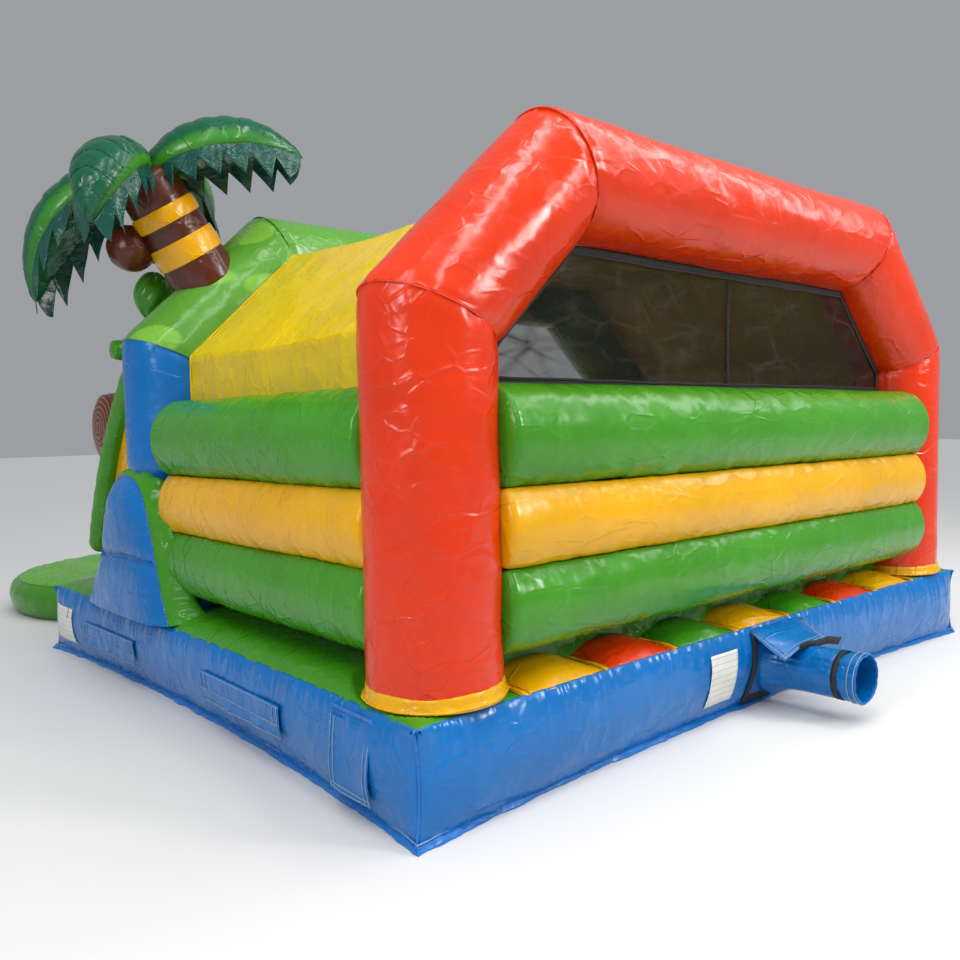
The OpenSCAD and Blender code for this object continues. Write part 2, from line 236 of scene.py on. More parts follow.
def frame_of(axis):
    """Unit vectors along an axis and two across it."""
    a = unit(np.array(axis, float))
    e1 = unit(np.cross([0, 0, 1.0] if abs(a[2]) < 0.9 else [0, 1.0, 0], a))
    return a, e1, np.cross(a, e1)


def tube_points(p0, p1, radius, plane0, plane1, step=0.02, seed=0, pinch=(0.010, 0.010), gather=0.006,
                round_end=(0, 0), sag=0.004, profile=None):
    """A straight inflated tube from p0 to p1, pinched and gathered where a plane (point, normal) cuts each end."""
    p0, p1 = np.array(p0, float), np.array(p1, float)
    a, e1, e2 = frame_of(p1 - p0)
    n_round = max(48, int(TAU * radius / step) // 4 * 4)
    n_long = max(12, int(np.linalg.norm(p1 - p0) / step))
    phi = circle(n_round)
    off = radius * (np.cos(phi)[:, None] * e1 + np.sin(phi)[:, None] * e2)
    if profile:
        off = profile(off)
    reach = []
    for q, n in (plane0, plane1):
        q, n = np.array(q, float), np.array(n, float)
        reach.append(((q - p0 - off) @ n) / (a @ n))
    t = np.linspace(0, 1, n_long)
    t = t - 0.08 * np.sin(TAU * t)
    s = reach[0][None] + (reach[1] - reach[0])[None] * t[:, None]
    p = p0 + off[None] + s[..., None] * a
    length = (reach[1] - reach[0])[None]
    near, away = t[:, None] * length, (1 - t[:, None]) * length
    out = off / np.linalg.norm(off, axis=1, keepdims=True)
    bulge = np.zeros(p.shape[:2])
    around = phi[None] * radius
    for d, depth, k in ((near, pinch[0], 1), (away, pinch[1], 2)):
        bulge -= depth * np.exp(-(d / 0.035) ** 2)
        lines = xyz(around * 17, d * 2.2, seed + k * 7.0)
        fold = ridges(lines, seed + k, 2.5)
        reach_in = 0.10 + 0.08 * (1 + value_noise(xyz(np.broadcast_to(around * 5, d.shape), 0, seed * 3.1), 5))
        if depth > 0:
            bulge += gather * (fold - 0.35) * np.exp(-d / reach_in)
    bulge += sag * value_noise(p * 1.6, seed + 11)
    bulge += 0.5 * sag * value_noise(p * 5.5, seed + 12)
    wobble = xyz(value_noise(p * 2, 3), value_noise(p * 2, 4), value_noise(p * 2, 6))
    twist = p * 3.2 + 0.6 * wobble
    bulge += 0.5 * sag * (ridges(twist, seed + 13, 5) - 0.15)
    p = p + out[None] * bulge[..., None]
    for e, d in zip(round_end, (near, away)):
        if e:
            c = np.clip(1 - d / e, 0, 1)
            shrink = np.maximum(1 - c ** 4, 0.0001) ** 0.30
            centre = p0 + (s[..., None] * a)
            p = centre + (p - centre) * shrink[..., None]
    return p


# ---------------------------------------------------------------- materials
def nodes_of(name):
    m = bpy.data.materials.new(name)
    m.use_nodes = True
    n = m.node_tree
    n.nodes.clear()
    out = n.nodes.new("ShaderNodeOutputMaterial")
    bsdf = n.nodes.new("ShaderNodeBsdfPrincipled")
    n.links.new(bsdf.outputs[0], out.inputs[0])
    return m, n, bsdf


def add(tree, kind, **values):
    node = tree.nodes.new(kind)
    for key, value in values.items():
        if key.startswith("in_"):
            node.inputs[key[3:].replace("_", " ")].default_value = value
        else:
            setattr(node, key, value)
    return node


def mixed(tree, a, b, factor, blend="MIX"):
    """Colour mix of a and b, each a colour or a socket."""
    node = add(tree, "ShaderNodeMix", data_type="RGBA", blend_type=blend)
    for socket, value in ((node.inputs[0], factor), (node.inputs[6], a), (node.inputs[7], b)):
        if isinstance(value, bpy.types.NodeSocket):
            tree.links.new(value, socket)
        else:
            socket.default_value = value
    return node.outputs[2]


def ramp(tree, source, low, high, to=(0, 1)):
    node = add(tree, "ShaderNodeMapRange", clamp=True)
    tree.links.new(source, node.inputs[0])
    for i, v in enumerate((low, high, to[0], to[1])):
        node.inputs[i + 1].default_value = v
    return node.outputs[0]


def maths(tree, op, a, b=0.0):
    node = add(tree, "ShaderNodeMath", operation=op)
    for socket, value in ((node.inputs[0], a), (node.inputs[1], b)):
        if isinstance(value, bpy.types.NodeSocket):
            tree.links.new(value, socket)
        else:
            socket.default_value = value
    return node.outputs[0]


def noise(tree, at, scale, detail=2.0, **more):
    """A noise texture's value at given coordinates."""
    texture = add(tree, "ShaderNodeTexNoise", in_Scale=scale, in_Detail=detail, **more)
    tree.links.new(at, texture.inputs["Vector"])
    return texture.outputs["Fac"]


def emboss(tree, bsdf, height, strength, distance=1.0):
    """Uses a height as the surface's bump."""
    bump = add(tree, "ShaderNodeBump", in_Strength=strength, in_Distance=distance)
    tree.links.new(height, bump.inputs["Height"])
    tree.links.new(bump.outputs[0], bsdf.inputs["Normal"])


def crumple_height(tree, coords, scale=1.0):
    """Height of creased coated cloth: long thin folds, small dents and the weave of the base cloth."""
    warp = add(tree, "ShaderNodeTexNoise", in_Scale=2.6 * scale, in_Detail=2.0)
    tree.links.new(coords, warp.inputs["Vector"])
    moved = add(tree, "ShaderNodeVectorMath", operation="MULTIPLY_ADD")
    tree.links.new(warp.outputs["Color"], moved.inputs[0])
    moved.inputs[1].default_value = (0.06, 0.06, 0.06)
    tree.links.new(coords, moved.inputs[2])
    creases = None
    for k, (turn, wide) in enumerate((((0.5, 0.3, 0.9), 4.0), ((1.2, -0.5, 2.2), 6.0), ((-0.4, 0.9, 3.6), 9.0))):
        stretch = add(tree, "ShaderNodeMapping", in_Rotation=turn, in_Location=(3.1 * k, 1.7 * k, 0))
        stretch.inputs["Scale"].default_value = (0.42, 1.0, 1.0)
        tree.links.new(moved.outputs[0], stretch.inputs[0])
        lines = add(tree, "ShaderNodeTexVoronoi", feature="DISTANCE_TO_EDGE", in_Scale=wide * scale,
                    in_Randomness=1.0)
        tree.links.new(stretch.outputs[0], lines.inputs["Vector"])
        fold = ramp(tree, lines.outputs["Distance"], 0.0, 0.07, (1, 0))
        where = noise(tree, stretch.outputs[0], (3.1 + 1.6 * k) * scale)
        part = maths(tree, "MULTIPLY", fold, ramp(tree, where, 0.47, 0.62))
        creases = part if creases is None else maths(tree, "ADD", creases, part)
    ridge = add(tree, "ShaderNodeTexNoise", noise_type="RIDGED_MULTIFRACTAL", in_Scale=5.5 * scale, in_Detail=3.0,
                in_Roughness=0.55)
    tree.links.new(moved.outputs[0], ridge.inputs["Vector"])
    weave = noise(tree, coords, 420.0, 1.0)
    fine = add(tree, "ShaderNodeTexNoise", noise_type="RIDGED_MULTIFRACTAL", in_Scale=19.0 * scale, in_Detail=2.0,
               in_Roughness=0.5)
    tree.links.new(moved.outputs[0], fine.inputs["Vector"])
    rough_part = noise(tree, coords, 3.3 * scale)
    wrinkled = ramp(tree, rough_part, 0.42, 0.62, (0.15, 1))
    total = maths(tree, "MULTIPLY", ridge.outputs["Fac"], 0.0022)
    fine_wrinkles = maths(tree, "MULTIPLY", fine.outputs["Fac"], wrinkled)
    total = maths(tree, "ADD", total, maths(tree, "MULTIPLY", fine_wrinkles, 0.0009))
    total = maths(tree, "ADD", total, maths(tree, "MULTIPLY", creases, 0.0030))
    soft = noise(tree, moved.outputs[0], 6.0 * scale, in_Roughness=0.45)
    total = maths(tree, "ADD", total, maths(tree, "MULTIPLY", soft, 0.015))
    total = maths(tree, "ADD", total, maths(tree, "MULTIPLY", weave, 0.00010))
    return total, creases


def pvc(name, colour, rough=0.24, scale=1.0, print_colour=None, depth=1.0, highlight_tint=False):
    """Glossy coated cloth, with creases, worn dull patches, an optional leaf print, a painted highlight along the
    crease lines and an optional painted highlight colour laid on by a point attribute.
    """
    m, tree, bsdf = nodes_of(name)
    coords = add(tree, "ShaderNodeTexCoord").outputs["Object"]
    height, creases = crumple_height(tree, coords, scale)
    emboss(tree, bsdf, height, 0.85 * depth)
    blotch = noise(tree, coords, 1.4, 4.0, in_Roughness=0.6)
    shade = ramp(tree, blotch, 0.3, 0.7)
    base = (*colour, 1)
    dark = (*[c * 0.80 for c in colour], 1)
    out = mixed(tree, dark, base, shade)
    if print_colour:
        stretch = add(tree, "ShaderNodeMapping", in_Scale=(1.6, 3.0, 3.6), in_Rotation=(0.3, 0.6, 0.4))
        tree.links.new(coords, stretch.inputs[0])
        leaf = add(tree, "ShaderNodeTexVoronoi", in_Scale=1.0, in_Randomness=0.9)
        tree.links.new(stretch.outputs[0], leaf.inputs["Vector"])
        inside = ramp(tree, leaf.outputs["Distance"], 0.40, 0.36)
        out = mixed(tree, out, (*print_colour, 1), maths(tree, "MULTIPLY", inside, 0.8))
    # painted highlight: an optional lighter colour laid where the point attribute marks it, as on the rims of the palm
    # leaves
    if highlight_tint:
        mark = add(tree, "ShaderNodeAttribute", attribute_name="highlight_tint")
        out = mixed(tree, out, (*highlight_tint, 1), mark.outputs["Fac"])
    # painted highlight: the crease lines are made a little paler, standing in for the glints along the folds
    crease_highlight = (*[min(1, c * 1.25 + 0.02) for c in colour], 1)
    out = mixed(tree, out, crease_highlight, maths(tree, "MULTIPLY", creases, 0.05))
    tree.links.new(out, bsdf.inputs["Base Color"])
    dull = noise(tree, coords, 5.0, 5.0, in_Roughness=0.65)
    tree.links.new(ramp(tree, dull, 0.3, 0.75, (rough - 0.06, rough + 0.10)), bsdf.inputs["Roughness"])
    bsdf.inputs["IOR"].default_value = 1.5
    bsdf.inputs["Specular IOR Level"].default_value = 0.36
    bsdf.inputs["Coat Weight"].default_value = 0.10
    bsdf.inputs["Coat Roughness"].default_value = 0.12
    return m


def thread(name, colour, rough=0.7):
    """Stitching thread and webbing: fine ribs across, matt."""
    m, tree, bsdf = nodes_of(name)
    coords = add(tree, "ShaderNodeTexCoord").outputs["Object"]
    rib = add(tree, "ShaderNodeTexWave", in_Scale=90.0, in_Distortion=1.5)
    tree.links.new(coords, rib.inputs["Vector"])
    fluff = noise(tree, coords, 160.0, 3.0)
    shade = mixed(tree, (*[c * 0.6 for c in colour], 1), (*[min(1, c * 1.5 + 0.01) for c in colour], 1), fluff)
    tree.links.new(shade, bsdf.inputs["Base Color"])
    emboss(tree, bsdf, maths(tree, "ADD", rib.outputs["Fac"], fluff), 0.6, 0.002)
    bsdf.inputs["Roughness"].default_value = rough
    return m


def net(name):
    """Dark knitted net: mostly closed seen from here, with a fine mesh of holes."""
    m, tree, bsdf = nodes_of(name)
    coords = add(tree, "ShaderNodeTexCoord").outputs["Object"]
    height, creases = crumple_height(tree, coords, 0.9)
    wave = []
    for direction in ("X", "Z"):
        w = add(tree, "ShaderNodeTexWave", bands_direction=direction, in_Scale=60.0)
        tree.links.new(coords, w.inputs["Vector"])
        wave.append(w.outputs["Fac"])
    holes = maths(tree, "MULTIPLY", wave[0], wave[1])
    blotch = noise(tree, coords, 2.6, 4.0)
    cover = maths(tree, "SUBTRACT", ramp(tree, blotch, 0.3, 0.75, (0.52, 0.68)),
                  maths(tree, "MULTIPLY", holes, 0.25))
    cover = maths(tree, "ADD", cover, maths(tree, "MULTIPLY", creases, 0.2))
    tree.links.new(cover, bsdf.inputs["Alpha"])
    # painted highlight: the near-black net is made a little lighter and warmer along its crease lines
    highlight_tint = mixed(tree, (0.012, 0.013, 0.012, 1), (0.035, 0.033, 0.022, 1), creases)
    tree.links.new(highlight_tint, bsdf.inputs["Base Color"])
    emboss(tree, bsdf, height, 0.8)
    bsdf.inputs["Roughness"].default_value = 0.75
    bsdf.inputs["Specular IOR Level"].default_value = 0.12
    return m


def log_end(name, centre):
    """Sawn end with growth rings about the log's own axis."""
    m, tree, bsdf = nodes_of(name)
    coords = add(tree, "ShaderNodeTexCoord").outputs["Object"]
    height, _ = crumple_height(tree, coords, 1.2)
    place = add(tree, "ShaderNodeMapping", in_Location=(0, -centre[1], -centre[2]), in_Scale=(0, 1, 1))
    tree.links.new(coords, place.inputs[0])
    wobble = noise(tree, coords, 4.0)
    length = add(tree, "ShaderNodeVectorMath", operation="LENGTH")
    tree.links.new(place.outputs[0], length.inputs[0])
    r = maths(tree, "ADD", length.outputs["Value"], maths(tree, "MULTIPLY", wobble, 0.05))
    ring = maths(tree, "SINE", maths(tree, "MULTIPLY", r, 190.0))
    line = ramp(tree, ring, -0.1, 0.5)
    out = mixed(tree, (0.05, 0.010, 0.005, 1), (0.27, 0.075, 0.03, 1), line)
    tree.links.new(out, bsdf.inputs["Base Color"])
    emboss(tree, bsdf, height, 0.8)
    bsdf.inputs["Roughness"].default_value = 0.32
    return m


def label_paper(name):
    """Blank white label with faint ruled lines and no lettering."""
    m, tree, bsdf = nodes_of(name)
    coords = add(tree, "ShaderNodeTexCoord").outputs["Object"]
    rule = add(tree, "ShaderNodeTexWave", bands_direction="Z", in_Scale=9.0)
    tree.links.new(coords, rule.inputs["Vector"])
    lines = ramp(tree, rule.outputs["Fac"], 0.93, 0.99)
    grime = noise(tree, coords, 12.0, 4.0)
    paper = mixed(tree, (0.62, 0.60, 0.54, 1), (0.80, 0.79, 0.74, 1), grime)
    tree.links.new(mixed(tree, paper, (0.30, 0.30, 0.32, 1), maths(tree, "MULTIPLY", lines, 0.6)),
                   bsdf.inputs["Base Color"])
    height, _ = crumple_height(tree, coords, 1.5)
    emboss(tree, bsdf, height, 0.6)
    bsdf.inputs["Roughness"].default_value = 0.45
    return m


def make_materials():
    return {
        "blue": pvc("pvc_blue", (0.000, 0.150, 0.48)),
        "red": pvc("pvc_red", (0.72, 0.034, 0.001)),
        "green": pvc("pvc_green", (0.048, 0.27, 0.009)),
        "ochre": pvc("pvc_ochre", (0.80, 0.40, 0.001)),
        "roof": pvc("pvc_roof_yellow", (0.76, 0.52, 0.002), depth=1.1),
        "print": pvc("pvc_leaf_print", (0.10, 0.32, 0.035), print_colour=(0.20, 0.47, 0.05)),
        "pad": pvc("pvc_pad_green", (0.12, 0.42, 0.03), scale=1.6, depth=1.6),
        # the second colour given to the palm material is the painted highlight along the leaf rims
        "palm": pvc("pvc_palm", (0.003, 0.095, 0.040), highlight_tint=(0.035, 0.22, 0.012)),
        "fringe": pvc("pvc_palm_fringe", (0.003, 0.072, 0.052), rough=0.28, scale=2.0),
        "brown": pvc("pvc_brown", (0.085, 0.017, 0.007), rough=0.26),
        "bark": pvc("pvc_bark", (0.13, 0.035, 0.015), rough=0.3, print_colour=(0.05, 0.012, 0.006)),
        "cloth": pvc("baffle_cloth", (0.32, 0.33, 0.33), rough=0.5),
        "black": thread("webbing_black", (0.012, 0.012, 0.012)),
        "stitch": thread("stitch_pale", (0.25, 0.36, 0.50)),
        "stitch_brown": thread("stitch_brown", (0.30, 0.10, 0.01)),
        "hem": pvc("pvc_hem_blue", (0.010, 0.17, 0.55), rough=0.3, scale=2.0),
        "net": net("net_black"),
        "label": label_paper("label_white"),
        "rings": log_end("log_rings", middle("log_beam")),
    }


M = make_materials()


# ---------------------------------------------------------------- ribbons and cords along curves
def cord_piece(name, points, radius, material, closed=False, n=8):
    """A thin round cord along points: piping, thread or rope."""
    p = np.array(points, float)
    t = unit(np.roll(p, -1, 0) - np.roll(p, 1, 0) if closed else np.gradient(p, axis=0))
    ref = np.where(np.abs(t[:, 2:3]) < 0.85, np.array([[0, 0, 1.0]]), np.array([[0, 1.0, 0]]))
    a = unit(np.cross(ref, t))
    b = np.cross(t, a)
    phi = circle(n)
    ring = p[:, None] + radius * (np.cos(phi)[None, :, None] * a[:, None] + np.sin(phi)[None, :, None] * b[:, None])
    if closed:
        ring = np.concatenate([ring, ring[:1]], 0)
    return grid_piece(name, ring, material, closed_v=True, caps=not closed)


def ribbon_piece(name, points, across, width, material, thick=0.003, lift=0.0, normals=None):
    """A flat strip along points. across is its width direction at each point."""
    p = np.array(points, float)
    w = unit(np.array(across, float))
    n = unit(normals if normals is not None else np.cross(w, np.gradient(p, axis=0)))
    p = p + n * lift
    prof = [(-0.5, 0), (-0.5, 1), (-0.25, 1.25), (0, 1.0), (0.25, 1.25), (0.5, 1), (0.5, 0)]
    ring = np.stack([p + w * (u * width) + n * (v * thick) for u, v in prof], 1)
    return grid_piece(name, ring, material, closed_v=True, caps=True)


# ---------------------------------------------------------------- base
CORNERS = np.array([[HALF_W, HALF_D], [-HALF_W, HALF_D], [-HALF_W, -HALF_D], [HALF_W, -HALF_D]])
INWARD = np.array([[0, -1.0], [1.0, 0], [0, 1.0], [-1.0, 0]])  # of the back, left, front and right sides
INSET = 0.012
HEM_TOP = 0.012


def skirt_point(side, t, v):
    """A point of the skirt. side 0 to 3 is back, left, front, right; t runs along it and v from hem to top seam."""
    t, v = np.broadcast_arrays(np.asarray(t, float), np.asarray(v, float))
    a, b = CORNERS[side], CORNERS[(side + 1) % 4]
    flat = a[None] + (b - a)[None] * t.reshape(-1, 1)
    vv, tt = v.reshape(-1), t.reshape(-1)
    arch = 4 * tt * (1 - tt)
    bow = (TOP_BOW * vv + FOOT_BOW * (1 - vv)) * arch ** 0.8
    ends = np.clip(np.minimum(tt, 1 - tt) * np.linalg.norm(b - a) / 0.30, 0, 1) ** 0.5
    swell = 0.062 * np.sin(math.pi * np.clip(vv, 0, 1)) ** 0.75 * (0.25 + 0.75 * ends)
    xy = flat + INWARD[side][None] * (INSET + bow - swell)[:, None]
    # the corner itself tucks in a little, along the diagonal
    tuck = 0.03 * (1 - ends) * np.sin(math.pi * np.clip(vv, 0, 1)) ** 0.5
    xy = xy * (1 - tuck / HALF_W)[:, None]
    z = HEM_TOP + (SEAM_Z - HEM_TOP) * vv
    return np.concatenate([xy, z[:, None]], 1).reshape(t.shape + (3,))


def side_t(side, along):
    """t on a side of the base for a place along X (back, front) or Y (left, right)."""
    a, b = CORNERS[side], CORNERS[(side + 1) % 4]
    k = 0 if side in (0, 2) else 1
    return (along - a[k]) / (b[k] - a[k])


def build_skirt():
    parts = []
    n_t, n_v = 540, 26
    for side in range(4):
        t, v = np.meshgrid(np.linspace(0, 1, n_t), np.linspace(0, 1, n_v), indexing="ij")
        p = skirt_point(side, t, v)
        normal = unit(np.cross(np.gradient(p, axis=0), np.gradient(p, axis=1)))
        if (normal[n_t // 2, n_v // 2, :2] @ INWARD[side]) > 0:
            normal = -normal
        along = t * 5
        drop = (1 - v) * SEAM_Z
        gathers = ridges(xyz(along * 20, drop * 3, side * 9.0), side, 2)
        rise = v * SEAM_Z
        creases = ridges(xyz(along * 7 + drop * 3, drop * 6, side * 5.0), side + 20, 4)
        corner = np.minimum(t, 1 - t) * 5
        puckers = ridges(xyz(corner * 5, v * 11, side * 3.0), side + 40, 2.5)
        height = (0.011 * (gathers - 0.4) * np.exp(-drop / 0.10) + 0.004 * (gathers - 0.4) * np.exp(-rise / 0.07)
                  + 0.004 * (creases - 0.2) + 0.010 * (puckers - 0.4) * np.exp(-corner / 0.22)
                  + 0.006 * value_noise(xyz(along * 1.2, v * 1.5, side * 2.0), 60))
        height *= np.clip(np.minimum(t, 1 - t) * 40, 0, 1)
        p = p + normal * height[..., None]
        # the rim rolls over inwards and covers the ends of the floor tubes
        rim = p[:, -1]
        inward = np.append(INWARD[side], 0)
        roll = [rim + inward * d + np.array([0, 0, z])
                for d, z in ((0.004, 0.005), (0.010, 0.006), (0.017, 0.002), (0.020, -0.012))]
        p = np.concatenate([p, np.stack(roll, 1)], 1)
        parts.append(grid_piece(f"skirt_side_{side}", p, M["blue"], flip=True))
    skirt = join("skirt", parts)
    fix_open_normals(skirt)
    stands_for(skirt, "pvc_blue", "base_skirt")
    corners = []
    for side in range(4):
        v = np.linspace(0, 1, 30)
        line = skirt_point(side, 0, v)
        outward = np.append(CORNERS[side] / np.linalg.norm(CORNERS[side]), 0)
        corners.append(cord_piece(f"skirt_corner_{side}", line + outward * 0.002, 0.005, M["hem"]))
    piping = join("skirt_corner_seams", corners)
    stands_for(piping, "pvc_blue")


def fix_open_normals(obj):
    """Flips the whole open shell when most of its faces point in, towards a point on the vertical axis through the
    origin.
    """
    mesh = obj.data
    centre = Vector((0, 0, SEAM_Z / 2))
    wrong = [f.index for f in mesh.polygons if f.normal.dot(f.center - centre) < 0]
    if len(wrong) > len(mesh.polygons) / 2:
        mesh.flip_normals()


def perimeter(v, n):
    """The closed outline of the base at height share v, with n points a side."""
    return np.concatenate([skirt_point(side, np.linspace(0, 1, n, endpoint=False), v) for side in range(4)])


def build_hem():
    n = 180
    line = perimeter(0.0, n)
    radial = line[:, :2] / np.linalg.norm(line[:, :2], axis=1, keepdims=True)
    side_out = np.repeat(-INWARD, n, axis=0)
    out = 0.7 * side_out + 0.3 * radial
    s = np.arange(len(line)) * 0.11
    wave = value_noise(xyz(s * 1.7, 0, 0), 3)
    small = value_noise(xyz(s * 6, 0, 4), 4)
    rows = []
    for k, (u, z) in enumerate(((-0.03, 0.035), (0.004, 0.030), (0.020, 0.014), (0.030, 0.006), (0.030, 0.001),
                                (-0.05, 0.001))):
        reach = u + (0.010 * wave + 0.005 * small) * (k in (2, 3, 4))
        up = z + 0.005 * (wave + small) * (k in (1, 2))
        rows.append(np.concatenate([line[:, :2] + out * reach[:, None], up[:, None]], 1))
    ring = np.stack(rows, 1)
    ring = np.concatenate([ring, ring[:1]], 0)
    hem = grid_piece("hem", ring, M["hem"], closed_v=True)
    fix_normals(hem)
    stands_for(hem, "pvc_blue", "base_hem")
    edge = np.concatenate([line[:, :2] + out * 0.012, line[:, 2:] + 0.022], 1)
    stitches = cord_piece("hem_stitches", edge + xyz(0, 0, 0.003 * small), 0.0028, M["stitch"], closed=True, n=6)
    stands_for(stitches, "pvc_blue")
    low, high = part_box("groundsheet")
    x, y = np.meshgrid(np.linspace(low.x, high.x, 60), np.linspace(low.y, high.y, 60), indexing="ij")
    z = 0.004 + 0.002 * value_noise(xyz(x * 3, y * 3, 0), 8)
    sheet = grid_piece("groundsheet_cloth", xyz(x, y, z), M["blue"])
    stands_for(sheet, "pvc_blue", "groundsheet")


CHAMBER_COLOURS = ["green", "ochre", "red", "green", "ochre", "green", "red", "ochre", "green"]


def top_seam_y(x):
    """Y of the top seam at the back, for a place along X."""
    t = (HALF_W - x) / (2 * HALF_W)
    return HALF_D - INSET - TOP_BOW * np.maximum(4 * t * (1 - t), 0) ** 0.8


def top_seam_x(y):
    t = (y + HALF_D) / (2 * HALF_D)
    return HALF_W - INSET - TOP_BOW * np.maximum(4 * t * (1 - t), 0) ** 0.8


def build_floor():
    for i, colour in enumerate(CHAMBER_COLOURS):
        edge = i in (0, 8)
        x_mid = (i - 4) * CHAMBER_W if not edge else math.copysign(3.5 * CHAMBER_W + EDGE_W / 2, i - 4)
        w = EDGE_W if edge else CHAMBER_W
        nx, ny = (48, 250) if edge else (40, 230)
        xi, yi = np.meshgrid(np.linspace(-1, 1, nx), np.linspace(-1, 1, ny), indexing="ij")
        x = x_mid + xi * w / 2
        y_end = top_seam_y(np.clip(x, -HALF_W, HALF_W)) - 0.006
        y = yi * y_end
        crown = 0.078
        across = 1 - np.abs(xi) ** 2.3
        d_end = (1 - np.abs(yi)) * y_end
        along = 1 - np.exp(-d_end / 0.085)
        if edge:
            seam_x = top_seam_x(y) - 0.004
            out = (xi * np.sign(x_mid) + 1) / 2        # 0 at the inner seam, 1 at the outer one
            inner = 3.5 * CHAMBER_W
            x = np.sign(x_mid) * (inner + (seam_x - inner) * out)
            across = (1 - np.clip(1 - out * 2, 0, 1) ** 2.6) * (1 - np.clip(out * 2 - 1, 0, 1) ** 4.5)
        q = xyz(x, y, float(i))
        side_fold = ridges(xyz(y * 11, x * 1.5, q[..., 2]), i, 2) - 0.4
        end_fold = ridges(xyz(x * 19, y * 2, q[..., 2]), i + 9, 2) - 0.4
        near_side = np.exp(-(1 - np.abs(xi)) * w / 2 / 0.05)
        z = SEAM_Z + (crown + 0.004) * across * along
        z += 0.007 * side_fold * near_side * across ** 0.3 + 0.010 * end_fold * np.exp(-d_end / 0.10) * along ** 0.3
        z += 0.004 * value_noise(q * 2.3, 31) * along + 0.0025 * (ridges(q * 5.0, 32, 4) - 0.3) * along
        z = np.where(d_end < 0.03, np.minimum(z, SEAM_Z - 0.004 + d_end * 0.7), z)
        for px in (POST.x, -POST.x):
            for py in (BACK_Y, FRONT_Y):
                away = np.hypot(x - px, y - py) - TUBE_R - 0.02
                z = np.minimum(z, DECK - 0.018 + np.maximum(away, 0) * 0.7)
        top = xyz(x, y, z)
        low = top.copy()
        low[..., 2] = SEAM_Z - 0.065
        n_all = 2 * nx
        verts, faces = np.concatenate([top, low[::-1]], 0).reshape(-1, 3), grid_faces(n_all, ny)
        faces += [tuple(r * ny for r in range(n_all)), tuple(r * ny + ny - 1 for r in range(n_all))[::-1]]
        faces += [((n_all - 1) * ny + j, (n_all - 1) * ny + j + 1, j + 1, j) for j in range(ny - 1)]
        piece = make_piece(f"floor_tube_{i + 1}", verts, faces, M[colour])
        fix_normals(piece)
        stands_for(piece, f"pvc_{colour}", f"floor_chamber_{i + 1}")


def build_seam_bands():
    bands, threads = [], []
    for k in range(8):
        x = (k - 3.5) * CHAMBER_W
        end = float(top_seam_y(x)) - 0.004
        y = np.linspace(-end, end, 240)
        wobble = 0.006 * value_noise(xyz(y * 4, k, 0), 7)
        d = end - np.abs(y)
        z = SEAM_Z + 0.012 * (1 - np.exp(-d / 0.03)) + 0.002 * value_noise(xyz(y * 13, k, 0), 9)
        line = xyz(x + wobble, y, z)
        across = [1.0, 0, 0]
        bands.append(ribbon_piece(f"band_{k}", line, across, 0.052, M["ochre"], thick=0.004, normals=[0, 0, 1.0]))
        for s in (-1, 1):
            zig = line + xyz(s * 0.019 + 0.004 * np.sin(y * 210), 0, 0.0055)
            threads.append(cord_piece(f"band_thread_{k}_{s}", zig, 0.0024, M["stitch_brown"], n=5))
    stands_for(join("seam_bands", bands), "pvc_ochre", "floor_seam_bands")
    stands_for(join("seam_band_stitches", threads), "pvc_ochre")
    baffles = frame["nodes"]["floor_baffles"]
    baffles.data.materials.clear()
    baffles.data.materials.append(M["cloth"])


# ---------------------------------------------------------------- arches
SLOPE = math.atan2(TOP_Z - BEND_Z, POST.x - ROOF_X)


def arch_joints(y):
    """Corner points of an arch's centre line and the planes where its tubes are sewn together."""
    right = [(POST.x, y, BEND_Z), (ROOF_X, y, TOP_Z)]
    up, in_, level = np.array([0, 0, 1.0]), np.array([-math.cos(SLOPE), 0, math.sin(SLOPE)]), np.array([-1.0, 0, 0])
    planes = [(right[0], up + in_), (right[1], in_ + level)]
    return right, planes


def flip_x(p):
    return np.array(p) * np.array([-1, 1, 1])


def ring_on_plane(p, axis, plane, radius):
    """Where a tube's surface meets a plane, for the piping of a mitre."""
    a, e1, e2 = frame_of(axis)
    phi = circle(96)
    off = radius * (np.cos(phi)[:, None] * e1 + np.sin(phi)[:, None] * e2)
    q, n = np.array(plane[0], float), np.array(plane[1], float)
    s = ((q - p - off) @ n) / (a @ n)
    return p + off + s[:, None] * a


